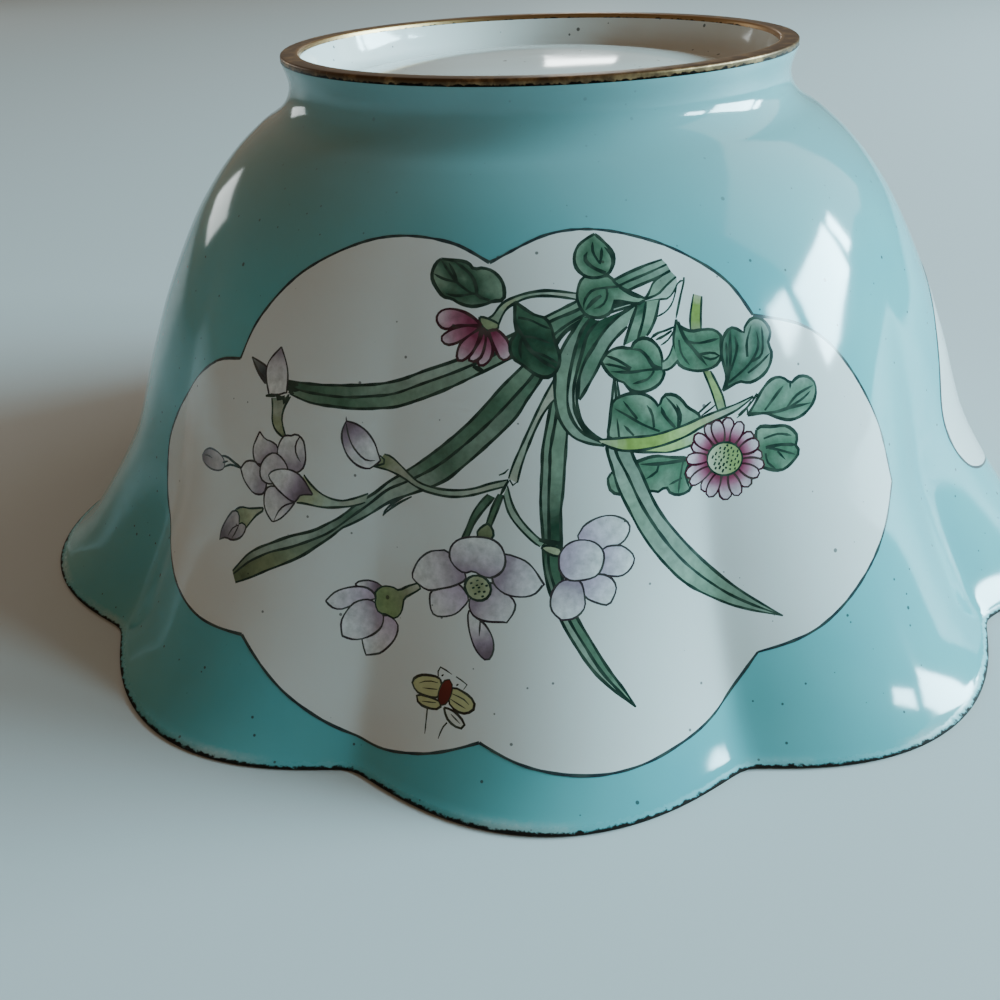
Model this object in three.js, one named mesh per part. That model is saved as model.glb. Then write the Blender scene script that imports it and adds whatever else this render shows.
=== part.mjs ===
// Painted enamel bowl on copper, turned over on its lobed rim with its foot ring upwards.
// Millimetres, +Z up. The origin is the middle of the rim's resting plane, and one lobe faces -Y.
import * as THREE from "three";
import { mergeVertices } from "three/addons/utils/BufferGeometryUtils.js";

// Overall sizes
const rimRadius = 75; // to the tips of the lobes
const height = 65.2; // from the resting plane to the foot's metal edge
const wall = 1.4; // copper sheet with enamel on both faces

// Lobes pressed into the rim, which fade out towards the foot
const lobeCount = 10;
const lobeDepth = 5.6; // from a lobe's tip in to the notch between two lobes, at the rim
const notchRound = 0.56; // rounding of the notch, where 0 is a sharp one
const lobeFade = 1.4; // power with which the lobes die away up the wall

// Rim edge, filed flat where the bowl rests
const rimEdgeRise = 0.5; // bare metal that shows below the enamel
const rimEdgeRound = 0.25;
const rimFlatWidth = 1.2;

// Foot ring
const footRadius = 33.3; // outside of the metal edge
const footEdgeWidth = 2.4; // flat metal edge that the bowl stands on when it is upright
const footEdgeHeight = 0.8; // bare metal on the ring's side
const footEdgeRound = 0.3;
const footWaist = 0.7; // how far the ring draws in below its edge
const footFillet = 3.2; // reach of the fillet between ring and body
const recessDraft = 0.9; // how far the recess narrows from its mouth to its bottom
const recessFillet = 1.8;
const domeDrop = 2; // the rounded bottom's crown lies this far below the foot's edge

// Fineness of the facets
const facetsPerLobe = 10;
const outerSteps = 17;
const innerSteps = 12;
const filletSteps = 4;
const recessFilletSteps = 2;
const domeSteps = 3;
const searchSteps = 400;
const mergeDistance = 1e-4;

// The body's outer line from the rim to the crown of its rounded bottom, as [share of the rim's
// radius, share of the crown's height]: a flaring lip, a steep wall and a full round shoulder.
const bodyLine = [
  [1, 0],
  [0.925, 0.082],
  [0.814, 0.269],
  [0.745, 0.464],
  [0.688, 0.61],
  [0.61, 0.763],
  [0.516, 0.877],
  [0.4, 0.95],
  [0.2, 0.992],
  [0, 1],
];

const crownHeight = height - domeDrop;
const bodyCurve = new THREE.SplineCurve(
  bodyLine.map(([across, up]) => new THREE.Vector2(across * rimRadius, up * crownHeight)),
);

// The body line moved inwards by a depth, square to itself, from the rim to the axis.
function bodyPoints(depth, steps) {
  const points = [];
  for (let i = 0; i <= steps; i++) {
    const t = i / steps;
    const along = bodyCurve.getTangent(t);
    const inwards = new THREE.Vector2(-along.y, along.x);
    points.push(bodyCurve.getPoint(t).addScaledVector(inwards, depth));
  }
  return points;
}

// Height of the body's outer line at a distance from the axis.
function bodyHeightAt(radius) {
  const points = bodyPoints(0, searchSteps);
  const k = points.findIndex((p) => p.x <= radius);
  const [below, above] = [points[k - 1], points[k]];
  const share = (below.x - radius) / (below.x - above.x);
  return below.y + share * (above.y - below.y);
}

function outerWall() {
  const footReach = footRadius + footFillet;
  return bodyPoints(0, outerSteps).filter((p) => p.x > footReach && p.y > rimEdgeRise);
}

function footRing() {
  const waistRadius = footRadius - footWaist;
  const innerRadius = footRadius - footEdgeWidth;
  const recessRadius = innerRadius - recessDraft;
  const jointHeight = bodyHeightAt(footRadius);
  const fillet = new THREE.QuadraticBezierCurve(
    new THREE.Vector2(footRadius + footFillet, bodyHeightAt(footRadius + footFillet)),
    new THREE.Vector2(waistRadius, jointHeight),
    new THREE.Vector2(waistRadius, (jointHeight + height) / 2),
  );
  return [
    ...fillet.getPoints(filletSteps),
    new THREE.Vector2(footRadius, height - footEdgeHeight),
    new THREE.Vector2(footRadius, height - footEdgeRound),
    new THREE.Vector2(footRadius - footEdgeRound, height),
    new THREE.Vector2(innerRadius + footEdgeRound, height),
    new THREE.Vector2(innerRadius, height - footEdgeRound),
    ...recessFloor(recessRadius),
  ];
}

// From the foot of the recess's wall, round its fillet and over the domed bottom to the axis.
function recessFloor(recessRadius) {
  const domeRadius = recessRadius - recessFillet;
  const filletHeight = bodyHeightAt(domeRadius) + recessFillet;
  const points = [];
  for (let i = 0; i < recessFilletSteps; i++) {
    const angle = ((Math.PI / 2) * i) / recessFilletSteps;
    const across = domeRadius + recessFillet * Math.cos(angle);
    points.push(new THREE.Vector2(across, filletHeight - recessFillet * Math.sin(angle)));
  }
  for (let i = 0; i < domeSteps; i++) {
    const radius = domeRadius * (1 - i / domeSteps);
    points.push(new THREE.Vector2(radius, bodyHeightAt(radius)));
  }
  points.push(new THREE.Vector2(0, crownHeight));
  return points;
}

// From the axis down to the rim.
function innerWall() {
  const points = bodyPoints(wall, innerSteps).filter((p) => p.y > rimEdgeRise);
  points.at(-1).x = 0;
  return points.reverse();
}

function rimEdge() {
  const flatOuter = rimRadius - rimEdgeRound;
  return [
    new THREE.Vector2(flatOuter - rimFlatWidth, 0),
    new THREE.Vector2(flatOuter, 0),
    new THREE.Vector2(rimRadius, rimEdgeRound),
    new THREE.Vector2(rimRadius - rimEdgeRound / 2, rimEdgeRise),
  ];
}

// 1 at a lobe's tip and 0 in a notch.
function lobeSwell(angle) {
  const wave = Math.abs(Math.cos((lobeCount * angle) / 2));
  const softness = notchRound / lobeDepth;
  return (Math.hypot(wave, softness) - softness) / (Math.hypot(1, softness) - softness);
}

// Draws each vertex in towards the axis between the lobes, most at the rim and not at all at the foot.
function pressLobes(geometry) {
  const position = geometry.getAttribute("position");
  const fadeTop = bodyHeightAt(footRadius + footFillet);
  for (let i = 0; i < position.count; i++) {
    const [x, y, z] = [position.getX(i), position.getY(i), position.getZ(i)];
    const angle = Math.atan2(y, x) + Math.PI / 2;
    const fade = Math.pow(Math.max(0, 1 - z / fadeTop), lobeFade);
    const pull = 1 - (lobeDepth / rimRadius) * fade * (1 - lobeSwell(angle));
    position.setXYZ(i, x * pull, y * pull, z);
  }
}

function bowlGeometry() {
  const section = [
    ...innerWall(),
    ...rimEdge(),
    ...outerWall(),
    ...footRing(),
  ];
  const turned = new THREE.LatheGeometry(section, lobeCount * facetsPerLobe);
  turned.rotateX(Math.PI / 2);
  turned.deleteAttribute("normal");
  turned.deleteAttribute("uv");
  const geometry = mergeVertices(turned, mergeDistance);
  pressLobes(geometry);
  geometry.computeVertexNormals();
  return geometry;
}

const turquoiseEnamel = new THREE.MeshStandardMaterial({
  color: 0x7fc4c8,
  roughness: 0.15,
  metalness: 0,
});

const bowl = new THREE.Mesh(bowlGeometry(), turquoiseEnamel);
bowl.name = "bowl";

const part = new THREE.Group();
part.add(bowl);

export default part;
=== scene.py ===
import bisect
import math
import random

import bmesh
import bpy
from mathutils import Matrix, Vector, noise
from mathutils.geometry import delaunay_2d_cdt


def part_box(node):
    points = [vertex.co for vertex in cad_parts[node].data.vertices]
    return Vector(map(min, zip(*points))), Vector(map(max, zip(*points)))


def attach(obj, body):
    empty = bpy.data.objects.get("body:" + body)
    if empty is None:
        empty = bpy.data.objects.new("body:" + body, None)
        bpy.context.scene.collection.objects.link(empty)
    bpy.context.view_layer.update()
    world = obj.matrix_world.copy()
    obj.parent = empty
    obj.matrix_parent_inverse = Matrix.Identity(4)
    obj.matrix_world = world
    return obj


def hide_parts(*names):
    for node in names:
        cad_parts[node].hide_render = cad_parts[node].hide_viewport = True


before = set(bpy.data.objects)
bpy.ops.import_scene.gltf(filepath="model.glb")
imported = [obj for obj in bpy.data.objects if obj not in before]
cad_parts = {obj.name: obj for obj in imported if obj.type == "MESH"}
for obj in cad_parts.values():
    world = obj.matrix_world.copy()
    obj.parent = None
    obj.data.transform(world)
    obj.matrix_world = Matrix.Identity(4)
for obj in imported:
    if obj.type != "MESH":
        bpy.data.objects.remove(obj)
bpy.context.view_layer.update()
mm = 0.001
bowlLow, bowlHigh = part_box("bowl")
print("frame loaded, bowl", [round(side / mm, 1) for side in bowlHigh - bowlLow], "mm")

# The bowl lies turned over on its lobed rim, with the foot ring upwards.
bowlShape = {
    "rimRadius": bowlHigh.y - 0.04 * mm,  # to the tips of the lobes, just inside the CAD solid's
    "height": bowlHigh.z,
    "wall": 1.4 * mm,
    "lobes": 10,
    "lobeDepth": 5.6 * mm,
    "notchRound": 0.56 * mm,
    "lobeFade": 1.4,
    "crownDrop": 2 * mm,  # the rounded bottom's crown below the foot's edge
    # outer line from rim to crown: share of the rim's radius, share of the crown's height
    "line": [
        (1, 0), (0.925, 0.082), (0.814, 0.269), (0.745, 0.464), (0.688, 0.61),
        (0.61, 0.763), (0.516, 0.877), (0.4, 0.95), (0.2, 0.992), (0, 1),
    ],
    "rimRound": 0.25 * mm,
    "rimFlat": 1.2 * mm,
    "lobeColumns": 44,
    "rowSpacing": 0.95 * mm,
}

footRing = {
    "radius": 33.3 * mm,
    "edgeWidth": 2.4 * mm,  # gilt metal edge
    "edgeHeight": 0.8 * mm,
    "innerEdge": 0.6 * mm,  # metal that shows inside the ring
    "edgeRound": 0.3 * mm,
    "waist": 0.7 * mm,
    "fillet": 3.2 * mm,
    "recessDraft": 0.9 * mm,
    "recessFillet": 1.8 * mm,
}


# Smooth curve through the points, in a number of steps for each span.
def smoothLine(points, steps=8, closed=False):
    points = [Vector(point) for point in points]
    count = len(points)
    line = []
    for span in range(count if closed else count - 1):
        around = [span + k for k in (-1, 0, 1, 2)]
        if closed:
            around = [k % count for k in around]
        before, start, end, after = [points[min(max(k, 0), count - 1)] for k in around]
        leave = (end - before) / 2
        arrive = (after - start) / 2
        for step in range(steps):
            t = step / steps
            bend = (start - end) * 2 + leave + arrive
            ease = (end - start) * 3 - leave * 2 - arrive
            line.append(bend * t**3 + ease * t**2 + leave * t + start)
    if not closed:
        line.append(points[-1])
    return line


# The same line with its points spaced evenly, about one spacing apart or in a number of steps.
def evenly(line, spacing, steps=0):
    reach = [0.0]
    for start, end in zip(line, line[1:]):
        reach.append(reach[-1] + (end - start).length)
    steps = steps or max(2, round(reach[-1] / spacing))
    spaced = []
    for step in range(steps + 1):
        target = reach[-1] * step / steps
        k = min(max(bisect.bisect_left(reach, target), 1), len(line) - 1)
        share = (target - reach[k - 1]) / max(reach[k] - reach[k - 1], 1e-12)
        spaced.append(line[k - 1].lerp(line[k], share))
    return spaced


def arc(centre, radius, fromDegrees, toDegrees, steps=4):
    points = []
    for step in range(steps + 1):
        angle = math.radians(fromDegrees + (toDegrees - fromDegrees) * step / steps)
        points.append(centre + Vector((math.cos(angle), math.sin(angle))) * radius)
    return points


crownHeight = bowlShape["height"] - bowlShape["crownDrop"]
wallLine = smoothLine([(r * bowlShape["rimRadius"], h * crownHeight) for r, h in bowlShape["line"]], 60)


def heightAt(radius):
    k = next(k for k, point in enumerate(wallLine) if point.x <= radius)
    low, high = wallLine[k - 1], wallLine[k]
    return low.y + (high.y - low.y) * (low.x - radius) / max(low.x - high.x, 1e-12)


fadeTop = heightAt(footRing["radius"] + footRing["fillet"])


# A place on the bowl after its lobes are pressed in. Angle 0 faces -Y.
def pressedPlace(radius, height, angle):
    softness = bowlShape["notchRound"] / bowlShape["lobeDepth"]
    wave = abs(math.cos(bowlShape["lobes"] * angle / 2))
    swell = (math.hypot(wave, softness) - softness) / (math.hypot(1, softness) - softness)
    fade = max(0.0, 1 - height / fadeTop) ** bowlShape["lobeFade"]
    pull = 1 - bowlShape["lobeDepth"] / bowlShape["rimRadius"] * fade * (1 - swell)
    return Vector((math.sin(angle) * radius * pull, -math.cos(angle) * radius * pull, height))


def insideLine():
    line = []
    for before, here, after in zip(wallLine, wallLine[1:], wallLine[2:]):
        along = (after - before).normalized()
        line.append(here + Vector((-along.y, along.x)) * bowlShape["wall"])
    rim = bowlShape["rimRadius"] - bowlShape["rimRound"] - bowlShape["rimFlat"]
    line = [point for point in line if point.y > bowlShape["rimRound"] * 2 and point.x > 0.1 * mm]
    line = [Vector((rim, 0)), Vector((rim - bowlShape["rimRound"], bowlShape["rimRound"]))] + line
    return evenly(line + [Vector((0, crownHeight - bowlShape["wall"]))], bowlShape["rowSpacing"] * 1.6)


def rimLine():
    edge = bowlShape["rimRadius"] - bowlShape["rimRound"]
    inner = [Vector((edge - bowlShape["rimFlat"] * share, 0)) for share in (1, 0.66, 0.33)]
    return inner + arc(Vector((edge, bowlShape["rimRound"])), bowlShape["rimRound"], -90, 20)


def outsideLine():
    foot = footRing["radius"]
    low = bowlShape["rimRound"] * 2
    line = [rimLine()[-1]]
    line += [point for point in wallLine if point.x > foot + footRing["fillet"] and point.y > low]
    start = Vector((foot + footRing["fillet"], fadeTop))
    corner = Vector((foot - footRing["waist"], heightAt(foot)))
    end = Vector((corner.x, (corner.y + bowlShape["height"]) / 2))
    for step in range(13):
        t = step / 12
        line.append(start * (1 - t) ** 2 + corner * 2 * t * (1 - t) + end * t**2)
    line.append(Vector((foot, bowlShape["height"] - footRing["edgeHeight"])))
    return evenly(line, bowlShape["rowSpacing"])


def footEdgeLine():
    top, turn = bowlShape["height"], footRing["edgeRound"]
    outer, inner = footRing["radius"], footRing["radius"] - footRing["edgeWidth"]
    line = [Vector((outer, top - footRing["edgeHeight"]))]
    line += arc(Vector((outer - turn, top - turn)), turn, 0, 90)
    line.append(Vector(((outer + inner) / 2, top)))
    line += arc(Vector((inner + turn, top - turn)), turn, 90, 180)
    return line + [Vector((inner - 0.1 * mm, top - footRing["innerEdge"]))]


def recessLine():
    wallFoot = footRing["radius"] - footRing["edgeWidth"] - footRing["recessDraft"]
    domeRadius = wallFoot - footRing["recessFillet"]
    corner = Vector((domeRadius, heightAt(domeRadius) + footRing["recessFillet"]))
    line = [footEdgeLine()[-1]] + arc(corner, footRing["recessFillet"], 0, -90, 8)
    line += [point for point in wallLine if 0.1 * mm < point.x < domeRadius]
    return evenly(line + [Vector((0, crownHeight))], bowlShape["rowSpacing"] * 1.4)


# One lobe's share of the turn. The other lobes are turned copies of it.
def spinLine(bm, line, slotNumber):
    verts = [bm.verts.new((point.x, 0, point.y)) for point in line]
    edges = [bm.edges.new(pair) for pair in zip(verts, verts[1:])]
    done = len(bm.faces)
    bmesh.ops.spin(
        bm, geom=verts + edges, cent=(0, 0, 0), axis=(0, 0, 1),
        angle=math.tau / bowlShape["lobes"], steps=bowlShape["lobeColumns"],
    )
    bm.faces.ensure_lookup_table()
    for face in bm.faces[done:]:
        face.material_index = slotNumber


def repeatLobes(bm):
    wedge = bm.verts[:] + bm.edges[:] + bm.faces[:]
    for k in range(1, bowlShape["lobes"]):
        copy = bmesh.ops.duplicate(bm, geom=wedge)["geom"]
        turned = [item for item in copy if isinstance(item, bmesh.types.BMVert)]
        turn = Matrix.Rotation(math.tau * k / bowlShape["lobes"], 3, "Z")
        bmesh.ops.rotate(bm, verts=turned, cent=(0, 0, 0), matrix=turn)
    bmesh.ops.remove_doubles(bm, verts=bm.verts, dist=0.002 * mm)


def pieceFrom(bm, name, materials):
    mesh = bpy.data.meshes.new(name)
    bm.to_mesh(mesh)
    bm.free()
    for material in materials:
        mesh.materials.append(material)
    mesh.shade_smooth()
    piece = bpy.data.objects.new(name, mesh)
    bpy.context.scene.collection.objects.link(piece)
    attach(piece, "root")
    return piece


# Short ways to build shader nodes
def startMaterial(name):
    material = bpy.data.materials.new(name)
    material.use_nodes = True
    shader = material.node_tree.nodes["Principled BSDF"]
    return material, material.node_tree, shader


def addNode(tree, kind, settings=None, values=None):
    node = tree.nodes.new(kind)
    for key, value in (settings or {}).items():
        setattr(node, key, value)
    for key, value in (values or {}).items():
        node.inputs[key].default_value = value
    return node


def objectPlace(tree):
    return addNode(tree, "ShaderNodeTexCoord").outputs["Object"]


def objectAxes(tree):
    axes = addNode(tree, "ShaderNodeSeparateXYZ")
    tree.links.new(objectPlace(tree), axes.inputs[0])
    return axes.outputs


def noiseValue(tree, scale, detail, roughness=0.5):
    values = {"Scale": scale, "Detail": detail, "Roughness": roughness}
    texture = addNode(tree, "ShaderNodeTexNoise", None, values)
    tree.links.new(objectPlace(tree), texture.inputs["Vector"])
    return texture.outputs["Fac"]


def mapRange(tree, source, fromLow, fromHigh, toLow=0.0, toHigh=1.0, smooth=False):
    values = {"From Min": fromLow, "From Max": fromHigh, "To Min": toLow, "To Max": toHigh}
    kind = "SMOOTHSTEP" if smooth else "LINEAR"
    node = addNode(tree, "ShaderNodeMapRange", {"interpolation_type": kind}, values)
    tree.links.new(source, node.inputs["Value"])
    return node.outputs["Result"]


def calculate(tree, operation, first, second):
    node = addNode(tree, "ShaderNodeMath", {"operation": operation})
    for socket, value in zip(node.inputs, (first, second)):
        if isinstance(value, (int, float)):
            socket.default_value = value
        else:
            tree.links.new(value, socket)
    return node.outputs[0]


def mixColours(tree, share, first, second, blend="MIX"):
    node = addNode(tree, "ShaderNodeMix", {"data_type": "RGBA", "blend_type": blend})
    sockets = (node.inputs[0], node.inputs[6], node.inputs[7])
    for socket, value in zip(sockets, (share, first, second)):
        if isinstance(value, bpy.types.NodeSocket):
            tree.links.new(value, socket)
        elif isinstance(value, tuple):
            socket.default_value = (*value, 1)
        else:
            socket.default_value = value
    return node.outputs[2]


# Pinholes and specks of dirt fired into the glaze: 1 on a speck and 0 off it.
def speckMask(tree, cellSize, radius):
    cells = addNode(tree, "ShaderNodeTexVoronoi", {"feature": "F1"}, {"Scale": 1 / cellSize})
    tree.links.new(objectPlace(tree), cells.inputs["Vector"])
    # most specks are tiny, and a few reach the full radius
    size = calculate(tree, "POWER", cells.outputs["Color"], 3)
    size = calculate(tree, "MULTIPLY", size, 2.3 * radius / cellSize)
    inside = calculate(tree, "SUBTRACT", size, cells.outputs["Distance"])
    return mapRange(tree, inside, 0, 0.35 * radius / cellSize, smooth=True)


def addSpecks(tree, base, specks):
    fine, coarse = (speckMask(tree, *size) for size in specks["sizes"])
    share = calculate(tree, "MULTIPLY", calculate(tree, "MAXIMUM", fine, coarse), specks["strength"])
    return mixColours(tree, share, base, specks["colour"])


def addBump(tree, shader, height, distance):
    bump = addNode(tree, "ShaderNodeBump", None, {"Strength": 0.6, "Distance": distance})
    tree.links.new(height, bump.inputs["Height"])
    tree.links.new(bump.outputs["Normal"], shader.inputs["Normal"])


# Long soft waves of the fired glaze with a finer orange-peel on them.
def glazeRipple(tree):
    fine = calculate(tree, "MULTIPLY", noiseValue(tree, 900, 3), 0.3)
    return calculate(tree, "ADD", noiseValue(tree, 180, 2), fine)


enamel = {
    "turquoise": (0.10, 0.41, 0.45),
    "turquoiseThin": (0.13, 0.46, 0.485),
    # painted haze reflection: a greyer turquoise that stands in for a bright haze reflected on the bowl's
    # upper wall
    "turquoisePaintedHaze": (0.21, 0.395, 0.405),
    "paintedHazeShare": 0.75,
    "paintedHazeHeights": (42 * mm, 60 * mm),  # painted haze reflection: from the first to the second height the turquoise turns greyer
    "white": (0.74, 0.76, 0.75),
    "whiteWarm": (0.70, 0.70, 0.66),
    "roughness": 0.09,
    "ripple": 0.02 * mm,
    # the sizes are the width of a cell and a speck's full radius, of the fine and the coarse ones
    "specks": {
        "sizes": ((1.3 * mm, 0.14 * mm), (3.7 * mm, 0.2 * mm)),
        "strength": 0.8,
        "colour": (0.03, 0.035, 0.03),
    },
    "specksInPaint": {
        "sizes": ((1.7 * mm, 0.14 * mm), (4.6 * mm, 0.2 * mm)),
        "strength": 0.75,
        "colour": (0.03, 0.035, 0.03),
    },
}

# The rim that the enamel has left bare: heights, and reaches above the enamel's ragged edge.
bareRim = {
    "black": (0.014, 0.012, 0.01),
    "copper": (0.30, 0.20, 0.12),
    "copperHeights": (0.16 * mm, 0.1 * mm),
    "edgeHeights": (0.34 * mm, 0.56 * mm),
    "edgeBlur": 0.04 * mm,
    "cream": (0.55, 0.60, 0.56),  # enamel gone pale in places along its edge
    "creamReach": (0.6 * mm, 0.1 * mm),
    "mattReach": (0.3 * mm, 0.05 * mm),
    "mattRoughness": 0.6,
    "specular": 0.1,
}


# The rim's wear: bare metal and pale enamel along its ragged edge. It also paints a haze reflection by
# greying the turquoise towards the top.
def wearRimAndPaintHaze(tree, shader, base):
    height = objectAxes(tree)["Z"]
    # painted haze reflection: the turquoise greys from the first height to the second
    paintedHaze = mapRange(tree, height, *enamel["paintedHazeHeights"], 0, enamel["paintedHazeShare"], smooth=True)
    base = mixColours(tree, paintedHaze, base, enamel["turquoisePaintedHaze"])
    ragged = mapRange(tree, noiseValue(tree, 1300, 4, 0.7), 0.3, 0.7, *bareRim["edgeHeights"])
    above = calculate(tree, "SUBTRACT", height, ragged)
    bare = mapRange(tree, above, bareRim["edgeBlur"], -bareRim["edgeBlur"])
    copper = mapRange(tree, height, *bareRim["copperHeights"])
    metal = mixColours(tree, copper, bareRim["black"], bareRim["copper"])
    pale = mapRange(tree, above, *bareRim["creamReach"])
    patches = mapRange(tree, noiseValue(tree, 90, 2), 0.5, 0.75, 0, 0.6)
    base = mixColours(tree, calculate(tree, "MULTIPLY", pale, patches), base, bareRim["cream"])
    matt = mapRange(tree, above, *bareRim["mattReach"], enamel["roughness"], bareRim["mattRoughness"])
    tree.links.new(matt, shader.inputs["Roughness"])
    specular = mapRange(tree, bare, 0, 1, 0.5, bareRim["specular"])
    tree.links.new(specular, shader.inputs["Specular IOR Level"])
    return mixColours(tree, bare, base, metal)


def enamelMaterial(name, colour, thinColour, worn):
    material, tree, shader = startMaterial(name)
    cloud = mapRange(tree, noiseValue(tree, 45, 3), 0.35, 0.65)
    base = addSpecks(tree, mixColours(tree, cloud, colour, thinColour), enamel["specks"])
    addBump(tree, shader, glazeRipple(tree), enamel["ripple"])
    shader.inputs["Roughness"].default_value = enamel["roughness"]
    # the worn rim, and the painted haze reflection towards the top
    if worn:
        base = wearRimAndPaintHaze(tree, shader, base)
    tree.links.new(base, shader.inputs["Base Color"])
    return material


gilt = {
    "gold": (0.46, 0.29, 0.14),
    "brown": (0.115, 0.07, 0.038),
    "soot": (0.008, 0.006, 0.005),
    "roughness": 0.36,
    "polished": 0.7 * mm,  # rubbed band along the ring's inner edge
    "sooty": 0.2 * mm,  # dark line along the enamel
    "sootyBlur": 0.05 * mm,
    "pits": 0.04 * mm,
}


def giltMaterial():
    material, tree, shader = startMaterial("worn gilt")
    axes = objectAxes(tree)
    squares = [calculate(tree, "MULTIPLY", axes[k], axes[k]) for k in "XY"]
    across = calculate(tree, "POWER", calculate(tree, "ADD", *squares), 0.5)
    inner = footRing["radius"] - footRing["edgeWidth"]
    rubbed = mapRange(tree, across, inner + gilt["polished"], inner + gilt["polished"] / 3, 0, 0.75)
    patches = mapRange(tree, noiseValue(tree, 420, 5, 0.6), 0.48, 0.7, 0, 0.8)
    base = mixColours(tree, calculate(tree, "MAXIMUM", rubbed, patches), gilt["brown"], gilt["gold"])
    enamelTop = bowlShape["height"] - footRing["edgeHeight"]
    ragged = mapRange(tree, noiseValue(tree, 1200, 3), 0.3, 0.7, 0, 2 * gilt["sooty"])
    above = calculate(tree, "SUBTRACT", calculate(tree, "SUBTRACT", axes["Z"], enamelTop), ragged)
    sooty = mapRange(tree, above, gilt["sootyBlur"], -gilt["sootyBlur"])
    tree.links.new(mixColours(tree, sooty, base, gilt["soot"]), shader.inputs["Base Color"])
    shader.inputs["Roughness"].default_value = gilt["roughness"]
    shader.inputs["Metallic"].default_value = 1
    addBump(tree, shader, noiseValue(tree, 900, 3), gilt["pits"])
    return material


def makeBowl():
    bm = bmesh.new()
    lines = (outsideLine(), footEdgeLine(), recessLine(), rimLine(), insideLine())
    for slotNumber, line in enumerate(lines):
        spinLine(bm, line, slotNumber)
    repeatLobes(bm)
    for vert in bm.verts:
        angle = math.atan2(vert.co.y, vert.co.x) + math.pi / 2
        vert.co = pressedPlace(math.hypot(vert.co.x, vert.co.y), vert.co.z, angle)
    bmesh.ops.recalc_face_normals(bm, faces=bm.faces)
    outside = enamelMaterial("turquoise enamel", enamel["turquoise"], enamel["turquoiseThin"], True)
    inside = enamelMaterial("white enamel", enamel["white"], enamel["whiteWarm"], False)
    edge = giltMaterial()
    piece = pieceFrom(bm, "bowl_body", [outside, edge, inside, outside, inside])
    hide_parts("bowl")
    print("bowl turned,", len(piece.data.polygons), "faces")


# Painting. It is drawn flat in millimetres, on the wall unrolled so that shapes keep their angles:
# x runs to the right from the middle of the panel, and y up the wall from the rim.
sheet = {
    "radius": 55 * mm,  # where the wall is this wide, a millimetre of the sheet is a real one
    "spacing": 0.65,  # of the skin's inner points
    "lift": 0.06 * mm,  # of the paint off the wall
    "skirt": 0.2 * mm,  # from the skin's edge into the wall
    "panelAngles": (-6.8, 113.2, 233.2),  # degrees: front, right and left
}

climb = [0.0]
for lower, upper in zip(wallLine, wallLine[1:]):
    climb.append(climb[-1] + (upper - lower).length / max((lower.x + upper.x) / 2, 1e-6))


def climbIndex(target):
    return min(max(bisect.bisect_left(climb, target), 1), len(climb) - 1)


def onWall(x, y, panelAngle, lift=0.0):
    target = y * mm / sheet["radius"]
    k = climbIndex(target)
    share = (target - climb[k - 1]) / (climb[k] - climb[k - 1])
    point = wallLine[k - 1].lerp(wallLine[k], share)
    return pressedPlace(point.x + lift, point.y, math.radians(panelAngle) + x * mm / sheet["radius"])


# Millimetres of the sheet to a real one at a height on it.
def sheetScale(y):
    return sheet["radius"] / wallLine[climbIndex(y * mm / sheet["radius"])].x


def wallNormal(x, y, panelAngle):
    reach = 0.05
    across = onWall(x + reach, y, panelAngle) - onWall(x - reach, y, panelAngle)
    up = onWall(x, y + reach, panelAngle) - onWall(x, y - reach, panelAngle)
    return across.cross(up).normalized()


# Colours of the painter's ink lines and washes
ink = {
    "leaf": (0.008, 0.03, 0.024),
    "petal": (0.04, 0.03, 0.04),
    "aster": (0.05, 0.008, 0.02),
    "border": (0.018, 0.036, 0.045),
    "bee": (0.02, 0.014, 0.01),
}
green = {
    "deep": (0.014, 0.06, 0.038),
    "shade": (0.035, 0.10, 0.065),
    "leaf": (0.065, 0.15, 0.095),
    "pale": (0.22, 0.33, 0.24),
    "blade": (0.10, 0.19, 0.13),
    "sage": (0.24, 0.33, 0.26),
    "mist": (0.40, 0.49, 0.42),
    "yellow": (0.24, 0.36, 0.09),
    "moss": (0.25, 0.30, 0.17),
    "olive": (0.13, 0.17, 0.09),
    "lime": (0.36, 0.50, 0.20),
    "calyx": (0.42, 0.46, 0.30),
    "stem": (0.44, 0.46, 0.38),
}
lilac = {
    "deep": (0.17, 0.125, 0.165),
    "mid": (0.36, 0.285, 0.37),
    "pale": (0.62, 0.575, 0.625),
    "light": (0.71, 0.71, 0.72),
}
rose = {
    "deep": (0.21, 0.035, 0.08),
    "mid": (0.42, 0.17, 0.25),
    "pale": (0.62, 0.50, 0.56),
    "light": (0.71, 0.60, 0.67),
}


def mixed(first, second, share):
    share = min(max(share, 0.0), 1.0)
    return tuple(a + (b - a) * share for a, b in zip(first, second))


# Tints: each gives the colour of a mark at a point.
def plainTint(colour):
    return lambda point: colour


def alongTint(start, end, *colours):
    start, axis = Vector(start), Vector(end) - Vector(start)
    if len(colours) == 1:
        return plainTint(colours[0])

    def tint(point):
        place = min(max((point - start).dot(axis) / axis.length_squared, 0), 0.999) * (len(colours) - 1)
        return mixed(colours[int(place)], colours[int(place) + 1], place % 1)
    return tint


def nearTint(line, reach, near, far):
    def tint(point):
        distance = min((point - spot).length for spot in line)
        share = min(distance / reach, 1)
        return mixed(near, far, share * share * (3 - 2 * share))
    return tint


def patchyTint(tint, other, size, amount):
    def patchy(point):
        patch = noise.noise(Vector((point.x / size, point.y / size, 3.7)))
        return mixed(tint(point), other, amount * min(max(patch + 0.35, 0), 1))
    return patchy


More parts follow.
